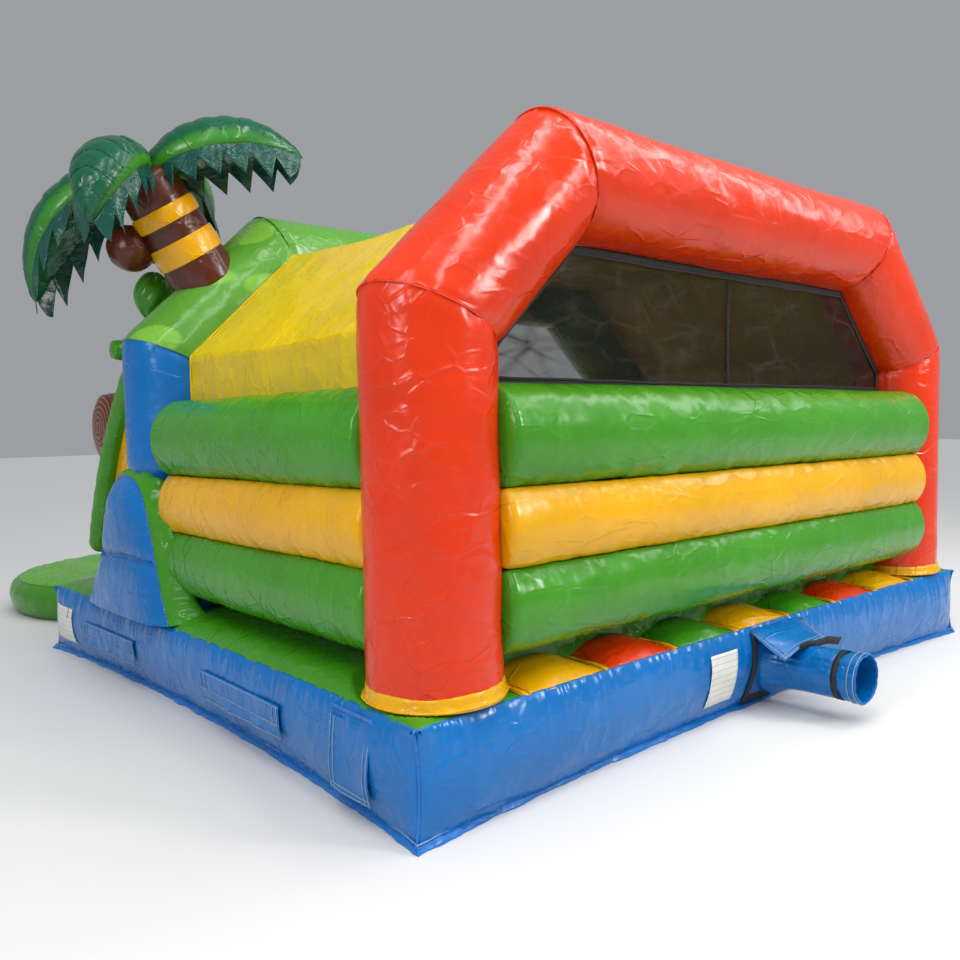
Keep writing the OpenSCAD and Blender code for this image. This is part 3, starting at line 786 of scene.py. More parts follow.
def build_arch(name, y, post_colour, beam_colour, foot):
    (bend, top), planes = arch_joints(y)
    seams = []
    for side, tag in ((1, "right"), (-1, "left")):
        def f(v):
            return np.array(v, float) if side == 1 else flip_x(v)
        floor = (f((POST.x, y, foot)), (0, 0, 1.0))
        p = tube_points(f((POST.x, y, foot)), f(bend), TUBE_R, floor, (f(bend), f(planes[0][1])),
                        seed=hash_of(name + tag), gather=0.008, pinch=(0.006, 0.008))
        if name == "front":
            # the lower part is squeezed between the buttress and the wall
            axis = np.array([f((POST.x, y, 0))[0], y, 0])
            narrow = 0.055 * np.clip((1.40 - p[..., 2]) / 0.12, 0, 1)[..., None] * np.array([1, 1, 0])
            p = p - (p - axis) * narrow / TUBE_R
        post = grid_piece(f"{name}_{tag}_post", p, M[post_colour], closed_v=True, caps=True)
        fix_normals(post)
        stands_for(post, f"pvc_{SLOTS[post_colour]}", f"{name}_arch_post_{tag}")
        p = tube_points(f(bend), f(top), TUBE_R, (f(bend), f(planes[0][1])), (f(top), f(planes[1][1])),
                        seed=hash_of(name + tag) + 5, gather=0.009, pinch=(0.008, 0.008), sag=0.005)
        slope = grid_piece(f"{name}_{tag}_slope", p, M[beam_colour], closed_v=True, caps=True)
        fix_normals(slope)
        stands_for(slope, f"pvc_{SLOTS[beam_colour]}", f"{name}_arch_slope_{tag}")
        for pt, pl, ax in ((bend, planes[0], (0, 0, 1)), (top, planes[1], (-1, 0, 0))):
            ring = ring_on_plane(np.array(pt, float), ax, pl, TUBE_R - 0.006)
            ring = ring if side == 1 else ring * np.array([-1, 1, 1])
            seams.append(cord_piece(f"{name}_{tag}_seam", ring, 0.0045, M[beam_colour], closed=True))
    p = tube_points(top, flip_x(top), TUBE_R, (top, planes[1][1]), (flip_x(top), flip_x(planes[1][1])),
                    seed=hash_of(name) + 9, gather=0.009, pinch=(0.008, 0.008), sag=0.006)
    bar = grid_piece(f"{name}_top_bar", p, M[beam_colour], closed_v=True, caps=True)
    fix_normals(bar)
    stands_for(bar, f"pvc_{SLOTS[beam_colour]}", f"{name}_arch_top_bar")
    stands_for(join(f"{name}_arch_seams", seams), f"pvc_{SLOTS[beam_colour]}")


SLOTS = {"red": "red", "blue": "blue", "print": "leaf_print", "green": "green", "ochre": "ochre",
         "roof": "roof_yellow"}


def hash_of(text):
    return sum(ord(c) * (i + 3) for i, c in enumerate(text)) % 997


def build_collars():
    rings = []
    for side in (1, -1):
        n_round, rows = 180, []
        phi = circle(n_round)
        for k, (dr, z) in enumerate(((-0.004, 0.060), (0.004, 0.056), (0.006, 0.044), (0.004, 0.026),
                                     (0.012, 0.014), (0.016, 0.004), (0.014, -0.010), (-0.02, -0.012))):
            fold = ridges(xyz(phi * 16, k * 0.35, side), 5, 2) - 0.4
            r = TUBE_R + dr + 0.007 * fold * (k in (2, 3, 4, 5))
            up = 0.008 * value_noise(xyz(phi * 1.3, k * 0.05, 0), 6) - 0.004
            rows.append(xyz(side * POST.x + r * np.cos(phi), BACK_Y + r * np.sin(phi), DECK + z + up * (k < 6)))
        ring = np.stack(rows, 0)
        rings.append(grid_piece("collar", ring, M["ochre"], closed_v=True))
        rings.append(cord_piece("collar_hem", rows[5] + np.array([0, 0, 0.002]), 0.006, M["ochre"], closed=True))
    collar = join("post_collar_rings", rings)
    fix_normals(collar)
    stands_for(collar, "pvc_ochre", "post_collars")


# ---------------------------------------------------------------- walls
def wall_profile(axis_z, low, high):
    def clamp(off):
        r = np.linalg.norm(off, axis=1).max()
        side = np.linalg.norm(off[:, :2], axis=1, keepdims=True)
        off = np.concatenate([off[:, :2] * (np.maximum(side / r, 1e-6) ** -0.2), off[:, 2:]], 1)
        z = np.clip(off[:, 2], low - axis_z + 0.002, high - axis_z - 0.002)
        return np.concatenate([off[:, :2], z[:, None]], 1)
    return clamp


def build_walls():
    wall_r = size("wall_right_middle").x / 2
    top_r = size("wall_right_top").x / 2
    for level in ("low", "middle", "top"):
        low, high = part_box(f"wall_back_{level}")
        r = top_r if level == "top" else wall_r
        z1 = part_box("wall_back_low")[1].z - 2 * r + 0.045 if level == "low" else low.z
        z2 = high.z
        axis_z = {"low": z1 + r, "middle": (z1 + z2) / 2, "top": z2 - r}[level]
        z1 = axis_z - r if level == "low" else z1
        z2 = axis_z + r if level == "top" else z2
        colour = "ochre" if level == "middle" else "green"
        for side in ("back", "right", "left"):
            node = f"wall_{side}_{level}"
            if side == "back":
                y = middle(node).y
                p0, p1, round_end = (1.99, y, axis_z), (-1.99, y, axis_z), (0.055, 0.055)
            else:
                x = middle(node).x
                front = {"low": -0.30, "middle": -0.37, "top": -0.385}[level]
                p0, p1, round_end = (x, front, axis_z), (x, BACK_Y - 0.15, axis_z), (0.035, 0.05)
            a = np.array(p1) - np.array(p0)
            p = tube_points(p0, p1, r, (p0, a), (p1, a), seed=hash_of(node),
                            pinch=(0.0, 0.0 if side == "back" else 0.006), gather=0.008,
                            round_end=round_end, sag=0.005, profile=wall_profile(axis_z, z1, z2))
            p = wall_folds(p, axis_z, z1, z2, hash_of(node), side)
            tube = grid_piece(f"{node}_tube", p, M[colour], closed_v=True, caps=True)
            fix_normals(tube)
            stands_for(tube, f"pvc_{colour}", node)
    build_wall_feet()


def wall_folds(p, axis_z, z1, z2, seed, side):
    """Short creases that run out of the seams between the wall tubes."""
    along = p[..., 0] if side == "back" else p[..., 1]
    out = p.copy()
    for z, k in ((z1, 1), (z2, 2)):
        d = np.abs(p[..., 2] - z)
        fold = ridges(xyz(along * 13, d * 2, seed + k * 1.0), seed + k, 2.5) - 0.35
        amount = 0.013 * fold * np.exp(-d / 0.055) * np.clip(d / 0.012, 0, 1)
        if side == "back":
            centre = np.array([0, float(p[..., 1].mean()), axis_z])
            away = (p - centre) * np.array([0, 1, 1])
        else:
            centre = np.array([float(p[..., 0].mean()), 0, axis_z])
            away = (p - centre) * np.array([1, 0, 1])
        out = out + unit(away) * amount[..., None]
    return out


def build_wall_feet():
    """The sewn strip that ties each wall to the floor, deep in the gap under the lowest tube."""
    strips = []
    low = DECK - 0.01
    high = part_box("wall_back_middle")[0].z - 0.30
    y_back, x_side = middle("wall_back_low").y - 0.10, middle("wall_right_low").x - 0.10
    runs = [((POST.x, y_back), (-POST.x, y_back))]
    runs += [((s * x_side, FRONT_Y + 0.3), (s * x_side, BACK_Y)) for s in (1, -1)]
    for a, b in runs:
        t = np.linspace(0, 1, 160)
        rows = []
        for k, z in enumerate(np.linspace(low, high, 8)):
            xy = np.array(a)[None] + (np.array(b) - np.array(a))[None] * t[:, None]
            n = np.array([-(b[1] - a[1]), b[0] - a[0]])
            n = n / np.linalg.norm(n)
            wave = 0.020 * ridges(xyz(t * 60, k * 0.2, 0), 5)
            rows.append(np.concatenate([xy + n * wave[:, None], np.full((len(t), 1), z)], 1))
        strips.append(grid_piece("foot", np.stack(rows, 1), M["green"]))
    stands_for(join("wall_foot_strips", strips), "pvc_green")


# ---------------------------------------------------------------- roof and window
def build_roof():
    y1, y2 = FRONT_Y + TUBE_R - 0.012, BACK_Y - TUBE_R + 0.012
    sill = WALL_TOP - 0.03
    line = [(POST.x, sill), (POST.x, BEND_Z), (ROOF_X, TOP_Z), (-ROOF_X, TOP_Z), (-POST.x, BEND_Z), (-POST.x, sill)]
    pts = []
    for (xa, za), (xb, zb) in zip(line[:-1], line[1:]):
        n = max(6, int(math.hypot(xb - xa, zb - za) / 0.03))
        t = np.linspace(0, 1, n, endpoint=False)
        pts.append(np.stack([xa + (xb - xa) * t, za + (zb - za) * t], 1))
    pts = np.concatenate(pts + [np.array([line[-1]])])
    ny = 90
    v = np.linspace(0, 1, ny)
    normal = smoothed(-plane_normals(pts), 2)
    x = np.repeat(pts[:, :1], ny, 1)
    z = np.repeat(pts[:, 1:], ny, 1)
    y = np.repeat((y1 + (y2 - y1) * v)[None], len(pts), 0)
    s = lengths(pts)[:, None]
    dip = -0.035 * np.sin(math.pi * v)[None] * np.ones_like(s)
    q = xyz(np.broadcast_to(s, y.shape) * 1.0, y, 0)
    slant = xyz(q[..., 0] * 2.0 + q[..., 1] * 1.0, q[..., 1] * 4.5 - q[..., 0] * 0.8, q[..., 2])
    tension = ridges(slant + 0.4 * value_noise(q * 2, 2)[..., None], 14, 4) - 0.2
    fine = ridges(q * 9, 15, 3) - 0.3
    edge = np.minimum(v, 1 - v)[None] * (y2 - y1)
    pull = ridges(xyz(q[..., 0] * 12, q[..., 1] * 1.2, q[..., 2]), 16, 2.5) - 0.35
    h = dip + 0.010 * tension + 0.003 * fine + 0.010 * pull * np.exp(-edge / 0.16)
    h = h * np.clip(edge / 0.02, 0, 1)
    p = xyz(x + normal[:, :1] * h, y, z + normal[:, 1:] * h)
    roof = grid_piece("roof_cloth", p, M["roof"])
    thicken(roof, CLOTH)
    stands_for(roof, "pvc_roof_yellow", "roof_top", "roof_side_right", "roof_side_left")
    # sewn edge tape along both arches
    tapes = []
    for yy in (y1 + 0.014, y2 - 0.014):
        c = xyz(pts[:, 0], yy, pts[:, 1]) + xyz(normal[:, 0], 0, normal[:, 1]) * 0.004
        tapes.append(cord_piece("tape", c, 0.006, M["roof"]))
    stands_for(join("roof_edge_piping", tapes), "pvc_roof_yellow")


def window_outline(inset):
    """Corners of the window between the back arch and the wall, drawn in by inset."""
    r = TUBE_R + inset
    side = POST.x - r
    bend_z = BEND_Z - math.tan((math.pi / 2 - SLOPE) / 2) * r
    top_x = ROOF_X - math.tan(SLOPE / 2) * r
    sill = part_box("window_binding")[0].z + inset
    return np.array([[-side, sill], [side, sill], [side, bend_z], [top_x, TOP_Z - r], [-top_x, TOP_Z - r],
                     [-side, bend_z]])


def build_window():
    outline = window_outline(0.012)
    side, sill = outline[1]
    bend_z, top_x, top_z = outline[2][1], outline[3][0], outline[3][1]
    nx, nz = 190, 60
    u, v = np.meshgrid(np.linspace(-1, 1, nx), np.linspace(0, 1, nz), indexing="ij")
    z = sill + (top_z - sill) * v
    half = np.where(z < bend_z, side, side + (top_x - side) * (z - bend_z) / (top_z - bend_z))
    x = u * half
    q = xyz(x, z, 0)
    slack = 0.018 * value_noise(q * 1.3, 3) + 0.010 * (ridges(xyz(x * 2.4 + z * 3, z * 4 - x, 0), 4, 4) - 0.2)
    rim = np.clip(np.minimum(np.minimum(v, 1 - v) * (top_z - sill), (1 - np.abs(u)) * half) / 0.10, 0, 1)
    pinch = 0.010 * np.exp(-(x / 0.03) ** 2) * (ridges(xyz(x * 10, z * 16, 0), 8, 2) - 0.3)
    y = BACK_Y + (slack * rim + pinch)
    cloth = grid_piece("window_net", xyz(x, y, z), M["net"], flip=True)
    stands_for(cloth, "net_black", "window_mesh")
    strips = []
    for inset, w, lift in ((0.018, 0.034, 0.0), (0.040, 0.012, 0.004)):
        c = window_outline(inset)
        for k in range(6):
            a, b = c[k], c[(k + 1) % 6]
            n = max(8, int(np.linalg.norm(b - a) / 0.03))
            t = np.linspace(0, 1, n)
            p = a[None] + (b - a)[None] * t[:, None]
            wob = 0.004 * value_noise(xyz(p[:, 0] * 6, p[:, 1] * 6, k), 2)
            inward = np.array([-(b - a)[1], (b - a)[0]]) / np.linalg.norm(b - a)
            p = p + inward * wob[:, None]
            line = xyz(p[:, 0], BACK_Y + 0.006, p[:, 1])
            across = np.tile([inward[0], 0, inward[1]], (n, 1))
            strips.append(ribbon_piece("strip", line, across, w, M["black"], thick=0.005, lift=lift,
                                       normals=[0, 1.0, 0]))
    n = 160
    zz = np.linspace(sill, top_z, n)
    for phase in (0, math.pi):
        line = xyz(0.010 * np.sin(zz * 150 + phase) + 0.01 * np.sin(zz * 7), BACK_Y + 0.010, zz)
        strips.append(cord_piece("lace", line, 0.0042, M["black"], n=6))
    stands_for(join("window_webbing", strips), "webbing_black", "window_binding")


# ---------------------------------------------------------------- air inlet, flaps, patches and labels
def build_inlet():
    low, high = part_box("inflation_tube")
    x, z, r = (low.x + high.x) / 2, (low.z + high.z) / 2, (high.x - low.x) / 2
    y0, y1 = low.y, high.y
    n_round, n_long = 96, 64
    phi = circle(n_round)
    y = np.concatenate([np.linspace(y0, y1, n_long), [y1 + 0.001], np.linspace(y1 - 0.004, y0 + 0.02, n_long)])
    wall = np.concatenate([np.zeros(n_long), [0.003], np.full(n_long, 0.006)])
    yy, pp = np.meshgrid(y, phi, indexing="ij")
    base = xyz(np.cos(pp) * 3, yy * 5, np.sin(pp) * 3)
    lines = ridges(xyz(np.cos(pp) * 5, yy * 2.0, np.sin(pp) * 5), 4, 3) - 0.3
    rr = r - wall[:, None] + 0.006 * value_noise(base, 2) + 0.008 * lines
    skirt_y = float(skirt_point(0, side_t(0, x), 0.5)[..., 1])
    rr += 0.05 * np.exp(-np.maximum(yy - skirt_y, 0) / 0.05)
    strap = y1 - 0.12
    rr -= 0.008 * np.exp(-((yy - strap) / 0.02) ** 2)
    p = xyz(x + rr * np.cos(pp), yy, z + rr * np.sin(pp))
    tube = grid_piece("inlet_sleeve", p, M["blue"], closed_v=True)
    fix_normals(tube)
    stands_for(tube, "pvc_blue", "inflation_tube")
    ring = xyz(x + (r - 0.001) * np.cos(phi), strap, z + (r - 0.001) * np.sin(phi))
    belt = ribbon_loop("inlet_strap", ring, (0, 1, 0), 0.030, M["black"])
    stands_for(belt, "webbing_black")
    hem = [cord_piece("hem", xyz(x + (r + 0.006) * np.cos(phi), y1 - d, z + (r + 0.006) * np.sin(phi)),
                      0.0025, M["stitch"], closed=True, n=6) for d in (0.012, 0.045)]
    stands_for(join("inlet_hem_stitches", hem), "pvc_blue")


def ribbon_loop(name, ring, axis, width, material, thick=0.004):
    a = np.array(axis, float)
    c = ring.mean(0)
    out = ring - c
    out = out - (out @ a)[:, None] * a
    out /= np.linalg.norm(out, axis=1, keepdims=True)
    prof = [(-0.5, 0), (-0.5, 1), (0.5, 1), (0.5, 0)]
    rows = np.stack([ring + a * (u * width) + out * (v * thick) for u, v in prof], 1)
    rows = np.concatenate([rows, rows[:1]], 0)
    obj = grid_piece(name, rows, material, closed_v=True)
    fix_normals(obj)
    return obj


def cloth_patch(name, corner_fn, nu, nv, material, thick=CLOTH):
    """A thin patch from corner_fn(u, v), with real thickness."""
    u, v = np.meshgrid(np.linspace(0, 1, nu), np.linspace(0, 1, nv), indexing="ij")
    p = corner_fn(u, v)
    obj = grid_piece(name, p, material)
    thicken(obj, thick)
    return obj, p


def stitching(lines, lift, radius=STITCH_R):
    """Thread along lines of a patch's points, lifted off it."""
    return [cord_piece("t", line + lift, radius, M["stitch"], n=5) for line in lines]


def side_normal(side):
    return np.append(-INWARD[side], 0.0)


def on_skirt(side, along, z, lift):
    """Points that lie on the skirt, stood off by lift."""
    v = np.clip((z - HEM_TOP) / (SEAM_Z - HEM_TOP), 0, 1)
    p = skirt_point(side, side_t(side, along), v)
    return p + side_normal(side) * np.asarray(lift)[..., None]


def build_patches():
    low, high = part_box("side_patches")
    parts, threads = [], []
    for side in (3, 1):
        for y1, y2, z1 in ((low.y, -0.67, low.z), (0.29, high.y, 0.165)):
            def surface(u, v, side=side, y1=y1, y2=y2, z1=z1):
                y = y1 + (y2 - y1) * u
                z = z1 + 0.165 * v
                loose = np.clip(0.40 - v, 0, 1) * 0.07
                wave = 0.5 + 0.5 * value_noise(xyz(y * 6, v * 0.4, side), 3)
                folds = 0.006 * (ridges(xyz(y * 22, v * 1.5, 0), 6, 2) - 0.3)
                return on_skirt(side, y, z, 0.012 + loose * wave + folds * (v < 0.93) * (v > 0.05))
            obj, p = cloth_patch(f"patch_{side}_{y1}", surface, 60, 18, M["blue"])
            parts.append(obj)
            out = side_normal(side) * 0.0035
            threads += stitching([p[:, row] for row in (1, 7, 16)], out)
            threads += stitching([p[col, 7:17] for col in (1, 4, 55, 58)], out, 0.0020)
    patches = join("side_patch_cloth", parts)
    stands_for(patches, "pvc_blue", "side_patches")
    stands_for(join("side_patch_stitches", threads), "pvc_blue")


def build_corner_flap():
    low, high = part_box("corner_flap")
    x0 = (low.x + high.x) / 2

    def surface(u, v):
        y = low.y + (high.y - low.y) * (u - 0.04 * np.sin(math.pi * (1 - v)) * (0.5 - u))
        hang = 1 - v
        belly = 0.022 * np.sin(math.pi * v) * (0.4 + 0.8 * u)
        kick = 0.010 * hang ** 2
        folds = 0.008 * value_noise(xyz(u * 3, v * 3, 0), 3) * hang
        dent = -0.014 * np.exp(-(((u - 0.5) / 0.22) ** 2 + ((v - 0.55) / 0.3) ** 2))
        x = x0 + 0.004 + belly + kick + folds + dent + 0.012 * u * hang
        z = low.z + (high.z - low.z) * v
        return xyz(x, y, z)
    obj, p = cloth_patch("corner_flap_cloth", surface, 34, 34, M["blue"])
    body = "corner_flap"
    stands_for(obj, "pvc_blue", "corner_flap", body=body)
    out = np.array([0.0035, 0, 0])
    threads = stitching([p[:, 1], p[:, 3], p[1], p[4], p[29], p[32]], out)
    stands_for(join("corner_flap_stitches", threads), "pvc_blue", body=body)
    # the sewn strip above its hinge
    y = np.linspace(low.y - 0.004, high.y + 0.004, 40)
    line = on_skirt(3, y, high.z + 0.032, 0.002)
    hinge = ribbon_piece("corner_flap_hinge_strip", line, [0, 0, 1.0], 0.020, M["hem"], thick=0.004,
                         normals=[1.0, 0, 0])
    stands_for(hinge, "pvc_blue")


def build_blower_flap():
    low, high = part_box("blower_flap")
    hinge_y, hinge_z = low.y + 0.001, high.z - 0.003
    length = math.hypot(high.y - low.y, high.z - low.z)
    rest = math.radians(17)
    tube_low, tube_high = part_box("inflation_tube")
    tube_x, tube_r = (tube_low.x + tube_high.x) / 2, (tube_high.x - tube_low.x) / 2 + 0.010
    tube_z = (tube_low.z + tube_high.z) / 2

    def surface(u, v):
        x = low.x + (high.x - low.x) * u
        s = length * (1 - v)
        z_line = hinge_z - s * math.sin(rest)
        y = hinge_y + s * math.cos(rest)
        off = np.abs(x - tube_x)
        over = tube_z + np.sqrt(np.maximum(tube_r ** 2 - off ** 2, 0)) + 0.008
        droop = 0.45 * np.maximum(off - 0.12, 0) * (s / length) ** 0.8
        z = np.maximum(z_line - droop, np.where(off < tube_r, over, -1))
        z += 0.006 * value_noise(xyz(x * 9, s * 9, 0), 5) * (s / length)
        return xyz(x, y - droop * 0.35, z)
    obj, p = cloth_patch("blower_flap_cloth", surface, 44, 26, M["blue"])
    body = "blower_flap"
    stands_for(obj, "pvc_blue", "blower_flap", body=body)
    up = np.array([0, 0.002, 0.0035])
    threads = stitching([p[:, 1], p[:, 3]] + [p[col, :-3] for col in (1, 3, 40, 42)], up)
    stands_for(join("blower_flap_stitches", threads), "pvc_blue", body=body)
    # a hook-and-loop strip that is sewn across the lower edge and sticks out past it
    n = 50
    t = np.linspace(0, 1, n)
    x = p[22, 1, 0] + 0.13 - 0.44 * t
    y = p[22, 1, 1] + 0.008 + 0.004 * np.sin(t * 9)
    z = p[22, 1, 2] - 0.010 + 0.004 * np.sin(t * 11) - 0.035 * t ** 2
    strip = ribbon_piece("blower_flap_strip", xyz(x, y, z), [0, 0.35, 0.94], 0.046,
                         M["black"], thick=0.007)
    stands_for(strip, "webbing_black", body=body)
    # fixed strips on the skirt round the opening
    strips, facing = [], [0, 1.0, 0]
    v_low, v_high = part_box("blower_velcro")
    for x in (v_low.x + 0.022, v_high.x - 0.022):
        z = np.linspace(v_low.z + 0.02, hinge_z - 0.01, 30)
        line = on_skirt(0, x, z, 0.006)
        strips.append(ribbon_piece("s", line, [1.0, 0, 0], 0.045, M["black"], thick=0.006, normals=facing))
    x = np.linspace(v_low.x, v_high.x, 40)
    line = on_skirt(0, x, v_low.z + 0.022, 0.007)
    strips.append(ribbon_piece("s", line, [0, 0, 1.0], 0.045, M["black"], thick=0.006, normals=facing))
    stands_for(join("blower_strips", strips), "webbing_black", "blower_velcro")


def build_labels():
    parts = []

    def back(u, v):
        return on_skirt(0, 0.315 + 0.245 * u, 0.10 + 0.285 * v,
                        0.004 + 0.002 * value_noise(xyz(u * 4, v * 4, 0), 2))

    def front(u, v):
        return on_skirt(3, -2.13 + 0.36 * u, 0.11 + 0.25 * v, 0.004 + 0.002 * value_noise(xyz(u * 4, v * 4, 0), 2))
    for k, fn in enumerate((back, front)):
        parts.append(cloth_patch(f"label_{k}", fn, 14, 18, M["label"], thick=0.0012)[0])
    stands_for(join("label_blanks", parts), "label_white", "blank_labels")


# ---------------------------------------------------------------- buttresses and wings
def build_buttresses():
    blues, strips = [], []
    _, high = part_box("buttresses")
    outer = high.x
    prof = np.array([(-0.165, DECK - 0.015), (-0.262, 0.665), (-0.332, 0.874), (-0.424, 1.103), (-0.484, 1.219),
                     (-0.555, 1.290), (-0.65, 1.325), (-0.74, 1.338), (-0.85, 1.325), (-0.96, 1.270), (-1.04, 1.19),
                     (-1.10, 1.08), (-1.14, 0.98), (-1.19, 0.86), (-1.25, 0.78), (-1.33, 0.65), (-1.46, DECK - 0.015)])
    n_s = 230
    at, line = resampled(prof, n_s, 10)
    normal = plane_normals(line)
    if normal[n_s // 2, 1] < 0:
        normal = -normal
    edge_x = outer - 0.010
    crease_z = 0.83
    for side in (1, -1):
        # outer face, drawn in rings from the outline to its middle line
        n_r = 44
        core = np.stack([np.interp(line[:, 1], [0.48, 1.1], [-0.84, -0.76]),
                         np.clip(line[:, 1], DECK - 0.015, 1.18)], 1)
        rows = []
        for rho in np.linspace(0, 1, n_r):
            yz = line + (core - line) * rho
            reach = np.linalg.norm(core - line, axis=1) * rho
            puff = 0.085 * (1 - np.exp(-reach / 0.11))
            seam_d = np.abs(yz[:, 1] - crease_z - 0.015 * np.sin(yz[:, 0] * 7))
            seam = -0.050 * np.exp(-seam_d / 0.035) * min(1, rho * 10)
            top_fold = ridges(xyz(at * 15, rho * 0.6, side), 3, 2) - 0.4
            fold = 0.013 * top_fold * np.exp(-reach / 0.07) * min(1, rho * 25)
            q = xyz(yz[:, 0], yz[:, 1], side)
            crease = 0.004 * (ridges(q * 5, 8, 4) - 0.2) * min(1, rho * 6)
            pucker = ridges(xyz(yz[:, 0] * 17, yz[:, 1] * 2, side), 12, 2) - 0.35
            near_seam = 0.010 * pucker * np.exp(-seam_d / 0.06) * min(1, rho * 10)
            x = edge_x + puff + (seam + fold + crease + near_seam)
            rows.append(xyz(side * x, yz[:, 0], yz[:, 1]))
        blues.append(grid_piece("blue", np.stack(rows, 0), M["blue"]))
        blues.append(cord_piece("pipe", xyz(side * edge_x, line[:, 0], line[:, 1]), 0.006, M["blue"]))
        # gathered strip round its edge, wider at the foot
        n_w = 30
        rows = []
        rear = np.clip((line[:, 0] + 0.85) / 0.25, 0, 1)
        depth = 0.150 + 0.10 * np.exp(-(line[:, 1] - DECK) / 0.06) * rear
        for w in np.linspace(0, 1, n_w):
            arch = math.sin(math.pi * w)
            fold = ridges(xyz(at * 13, w * 0.9, 5 * side), 9, 1.5) - 0.45
            fine = ridges(xyz(at * 31, w * 1.4, 9 * side), 10, 1.5) - 0.45
            swell = 0.050 * arch ** 0.7 + (0.026 * fold + 0.010 * fine) * (0.15 + 0.85 * arch) * (w > 0.01)
            flare = (0.05 * np.exp(-(line[:, 1] - DECK) / 0.08)
                     + 0.10 * np.clip((line[:, 0] + 0.66) / 0.12, 0, 1)) * w
            yz = line + normal * swell[:, None]
            yz[:, 0] += flare
            rows.append(xyz(side * (edge_x - depth * w), yz[:, 0], yz[:, 1]))
        last = rows[-1]
        inner = np.array([0, -1.0, 0]) * 0.20
        rows.append(last + inner * rear[:, None] + np.array([-side * 0.01, 0, 0]))
        strips.append(grid_piece("strip", np.stack(rows, 0), M["green"]))
    blue = join("buttress_faces", blues)
    stands_for(blue, "pvc_blue", "buttresses")
    strip = join("buttress_gathers", strips)
    stands_for(strip, "pvc_green")


WING_ARC = dict(y=0.943, z=-0.101, r=2.843, a=134, b=162)


def arc_points(radius, a, b, n):
    phi = np.radians(np.linspace(a, b, n))
    return np.stack([WING_ARC["y"] + radius * np.cos(phi), WING_ARC["z"] + radius * np.sin(phi)], 1)


def build_wings():
    wings, ribs = [], []
    _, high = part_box("front_wings")
    x_in, x_out = high.x - 0.175, high.x
    for side in (1, -1):
        top = arc_points(WING_ARC["r"] - 0.01, WING_ARC["a"] - 1.5, WING_ARC["b"], 70)
        foot = np.array([[top[-1, 0] - 0.025, 0.70], [top[-1, 0] - 0.02, 0.60], [top[-1, 0] + 0.03, DECK - 0.01]])
        edge = np.concatenate([top, foot])
        inner = np.stack([np.full(len(edge), FRONT_Y + 0.05), np.clip(edge[:, 1], DECK - 0.01, 1.7)], 1)
        rows = []
        n_w = 28
        for w in np.linspace(0, 1, n_w):
            yz = inner + (edge - inner) * math.sin(w * math.pi / 2) ** 0.8
            bulge = 0.075 * math.sin(math.pi * min(w, 0.98)) ** 0.5 if w > 0 else 0
            q = xyz(yz[:, 0] * 4, yz[:, 1] * 4, side)
            out = x_out - 0.02 + bulge * (1 - w * 0.4) + 0.004 * value_noise(q, 3)
            rows.append(xyz(side * out, yz[:, 0], yz[:, 1]))
        for w in np.linspace(0, 1, 12)[1:]:
            swell = 0.03 * math.sin(math.pi * w)
            yz = edge + np.array([-0.7, 0.5]) * swell
            rows.append(xyz(side * (x_out - 0.02 - (x_out - x_in) * w), yz[:, 0], yz[:, 1]))
        for w in np.linspace(0, 1, 8)[1:]:
            yz = edge + (inner - edge) * w
            rows.append(xyz(side * (x_in - 0.03 * math.sin(math.pi * w)), yz[:, 0], yz[:, 1]))
        wings.append(grid_piece("wing", np.stack(rows, 0), M["ochre"]))
        centre = arc_points(WING_ARC["r"] + 0.005, WING_ARC["a"] - 2, WING_ARC["b"] + 0.6, 110)
        rib_x = x_out + 0.045
        rr = 0.082 * np.sqrt(np.clip(1 - np.clip((np.arange(110) - 103) / 6.0, 0, 0.995) ** 2, 0, 1))
        rr *= 0.80 + 0.20 * np.linspace(0, 1, 110)
        phi = circle(32)
        nrm = plane_normals(centre)
        rows = []
        for k in range(110):
            fold = 0.004 * (ridges(xyz(phi * 1.4, k * 0.25, side), 4, 2) - 0.4)
            r = (rr[k] + fold * (k < 103))[:, None]
            yz = centre[k] + nrm[k] * (np.cos(phi)[:, None] * r)
            rows.append(xyz(side * (rib_x + np.sin(phi) * r[:, 0]), yz[:, 0], yz[:, 1]))
        ribs.append(grid_piece("rib", np.stack(rows, 0), M["green"], closed_v=True, caps=True))
    wing = join("wing_panels", wings)
    fix_normals(wing)
    stands_for(wing, "pvc_ochre", "front_wings")
    # bud and shoot before the right post
    y = FRONT_Y - TUBE_R - 0.10
    bud = lump("bud", (POST.x - 0.06, y, 2.50), (0.125, 0.11, 0.155), 0.2, M["green"], ridges_per_turn=7)
    p0, p1 = (POST.x - 0.16, y, 2.135), (POST.x + 0.236, y, 2.135)
    p = tube_points(p0, p1, 0.066, (p0, (1, 0, 0)), (p1, (1, 0, 0)), step=0.012, seed=3, round_end=(0.02, 0.02))
    shoot = grid_piece("shoot", p, M["green"], closed_v=True, caps=True)
    trim = join("jungle_ribs", ribs + [bud, shoot])
    fix_normals(trim)
    stands_for(trim, "pvc_green", "jungle_trim")


def lump(name, centre, radii, twist, material, ridges_per_turn=0, n=40):
    """A closed puffy ball with optional lobes."""
    th, ph = np.meshgrid(np.linspace(0.001, math.pi - 0.001, n), circle(2 * n), indexing="ij")
    lobes = 1 + (0.10 * np.abs(np.cos(ridges_per_turn / 2 * (ph + twist * th * 4)))
                 - 0.05 if ridges_per_turn else 0)
    q = xyz(np.sin(th) * np.cos(ph), np.sin(th) * np.sin(ph), np.cos(th))
    lobes = lobes + 0.02 * value_noise(q * 3, 3) + 0.01 * (ridges(q * 5, 4, 3) - 0.3)
    p = np.array(centre) + q * np.array(radii) * np.asarray(lobes)[..., None]
    return grid_piece(name, p, material, closed_v=True, caps=True)


